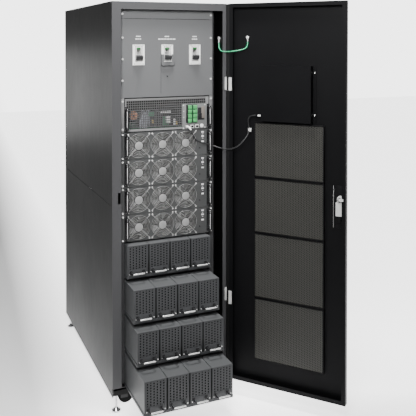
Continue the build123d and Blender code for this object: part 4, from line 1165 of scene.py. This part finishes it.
GROUND_ROUTE = [
    (0.2765, -0.508, 1.783), (0.2765, -0.508, 1.768), (0.276, -0.516, 1.752),
    (0.2755, -0.533, 1.741), (0.2765, -0.556, 1.737), (0.281, -0.580, 1.736),
    (0.290, -0.604, 1.737), (0.306, -0.628, 1.740), (0.328, -0.645, 1.744),
    (0.350, -0.653, 1.750), (0.364, -0.653, 1.759),
    on_door(STUD_REACH, 0.0045, 1.773), on_door(STUD_REACH, 0.0045, 1.787),
]
DISPLAY_ROUTE = [
    (0.093, -0.543, 1.360), (0.093, -0.560, 1.360), (0.096, -0.572, 1.347),
    (0.104, -0.577, 1.326), (0.118, -0.570, 1.303), (0.140, -0.556, 1.286),
    (0.168, -0.543, 1.277), (0.204, -0.538, 1.267), (0.234, -0.545, 1.256),
    (0.258, -0.569, 1.248), (0.278, -0.600, 1.244), (0.300, -0.634, 1.252),
    (0.324, -0.655, 1.271), (0.346, -0.664, 1.297), on_door(0.104, -0.011, 1.320),
    on_door(0.108, -0.0034, 1.345), on_door(0.106, -0.005, 1.372), on_door(0.106, -0.012, 1.396),
    on_door(0.113, -0.016, 1.411), on_door(0.131, -0.019, 1.422), on_door(0.150, -0.019, 1.422),
]
display_plug = bmesh.new()
bar(display_plug, (0.162, 0.180), (-0.024, -0.014), (1.417, 1.427), 0.001, DOOR)
drum(display_plug, (0.156, -0.019, 1.422), (-1, 0, 0), 0.0048, 0.012, 20, 0.0005, DOOR, 0.72)
display_plug = make("display_plug", display_plug, white_plastic, "front_door", "grey_cable")

ground_wire, ground_path = cable_tube(
    "ground_wire_cord", GROUND_ROUTE, 0.0025, green_wire, "ground_wire"
)
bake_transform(ground_wire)
display_cable, display_path = cable_tube(
    "display_cable_cord", DISPLAY_ROUTE, 0.003, cable_jacket, "display_cable"
)
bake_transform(display_cable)
boot = boot_along("display_boot", display_path, 0.034, 0.0050, 0.0036)


# ------------------------------------------------------------------ camera, floor and light
EYE = (-1.1381, -3.6177, 1.7809)
EYE_DIP, EYE_TURN = 0.86, 23.396     # degrees down, and to the right of the Y axis
FLOOR_HALF = 14.0
SKY_AHEAD = (0.4226, 0.9063, 0.0)    # the middle of the bright wall behind the cabinet
eye = bpy.data.cameras.new("studio_camera")
eye.lens = 57.39
eye.sensor_width = 36.0
eye.shift_x = 0.0037
eye.shift_y = -0.3731
camera = bpy.data.objects.new("studio_camera", eye)
camera.location = EYE
camera.rotation_euler = (radians(90 - EYE_DIP), 0.0, radians(-EYE_TURN))
bpy.context.collection.objects.link(camera)
bpy.context.scene.camera = camera

floor_shape = bmesh.new()
bmesh.ops.create_grid(floor_shape, x_segments=1, y_segments=1, size=FLOOR_HALF)
floor_mesh = bpy.data.meshes.new("studio_floor")
floor_shape.to_mesh(floor_mesh)
floor_shape.free()
pale = Finish("studio_white", 0.9)
pale.set("Base Color", (0.93, 0.93, 0.93, 1.0))
lit_side = pale.along((0.9986, -0.052, 0.0), (-0.80, -3.6, 0.0)) * 2.0
lit_back = pale.along((0.397, 0.918, 0.0), (-1.138, -3.618, 0.0)) * 1.6 - 4.4
lit = pale.node("ShaderNodeMath", {"operation": "MINIMUM", "use_clamp": True}, lit_side, lit_back)
pale.set("Emission Color", pale.mix((0.03, 0.03, 0.03), (1.0, 1.0, 1.0), lit))
pale.set("Emission Strength", 3.0)
floor_mesh.materials.append(pale.material)
studio_floor = bpy.data.objects.new("studio_floor", floor_mesh)
bpy.context.collection.objects.link(studio_floor)

world = bpy.data.worlds.new("studio")
world.use_nodes = True
sky = world.node_tree
backdrop = sky.nodes["Background"]
backdrop.inputs["Color"].default_value = (1.0, 1.0, 1.0, 1.0)
way = sky.nodes.new("ShaderNodeTexCoord")
facing = sky.nodes.new("ShaderNodeVectorMath")
facing.operation = "DOT_PRODUCT"
facing.inputs[1].default_value = SKY_AHEAD
sky.links.new(way.outputs["Generated"], facing.inputs[0])
glow = sky.nodes.new("ShaderNodeMapRange")
for socket, value in (("From Min", 0.91), ("From Max", 0.945), ("To Min", 0.3), ("To Max", 4.0)):
    glow.inputs[socket].default_value = value
sky.links.new(facing.outputs["Value"], glow.inputs["Value"])
sky.links.new(glow.outputs["Result"], backdrop.inputs["Strength"])
bpy.context.scene.world = world


def softbox(name, place, target, size, power, spread=180):
    light = bpy.data.lights.new(name, "AREA")
    light.shape = "RECTANGLE"
    light.size, light.size_y = size
    light.energy = power
    light.spread = radians(spread)
    lamp = bpy.data.objects.new(name, light)
    lamp.location = place
    lamp.rotation_euler = (Vector(target) - Vector(place)).to_track_quat("-Z", "Y").to_euler()
    bpy.context.collection.objects.link(lamp)


softbox("key_softbox", (-1.1, -2.7, 2.7), (0.0, -0.5, 1.75), (0.9, 0.9), 56.0, 110)
softbox("front_softbox", (-1.6, -4.4, 2.6), (0.1, -0.6, 0.7), (1.5, 1.5), 22.0)
softbox("side_softbox", (-1.05, 2.5, 1.3), (-0.3, 0.0, 1.3), (0.8, 0.8), 5.5)
softbox("top_softbox", (-0.1, -0.92, 3.2), (-0.02, -0.8, 0.6), (0.5, 0.4), 18.0, 70)
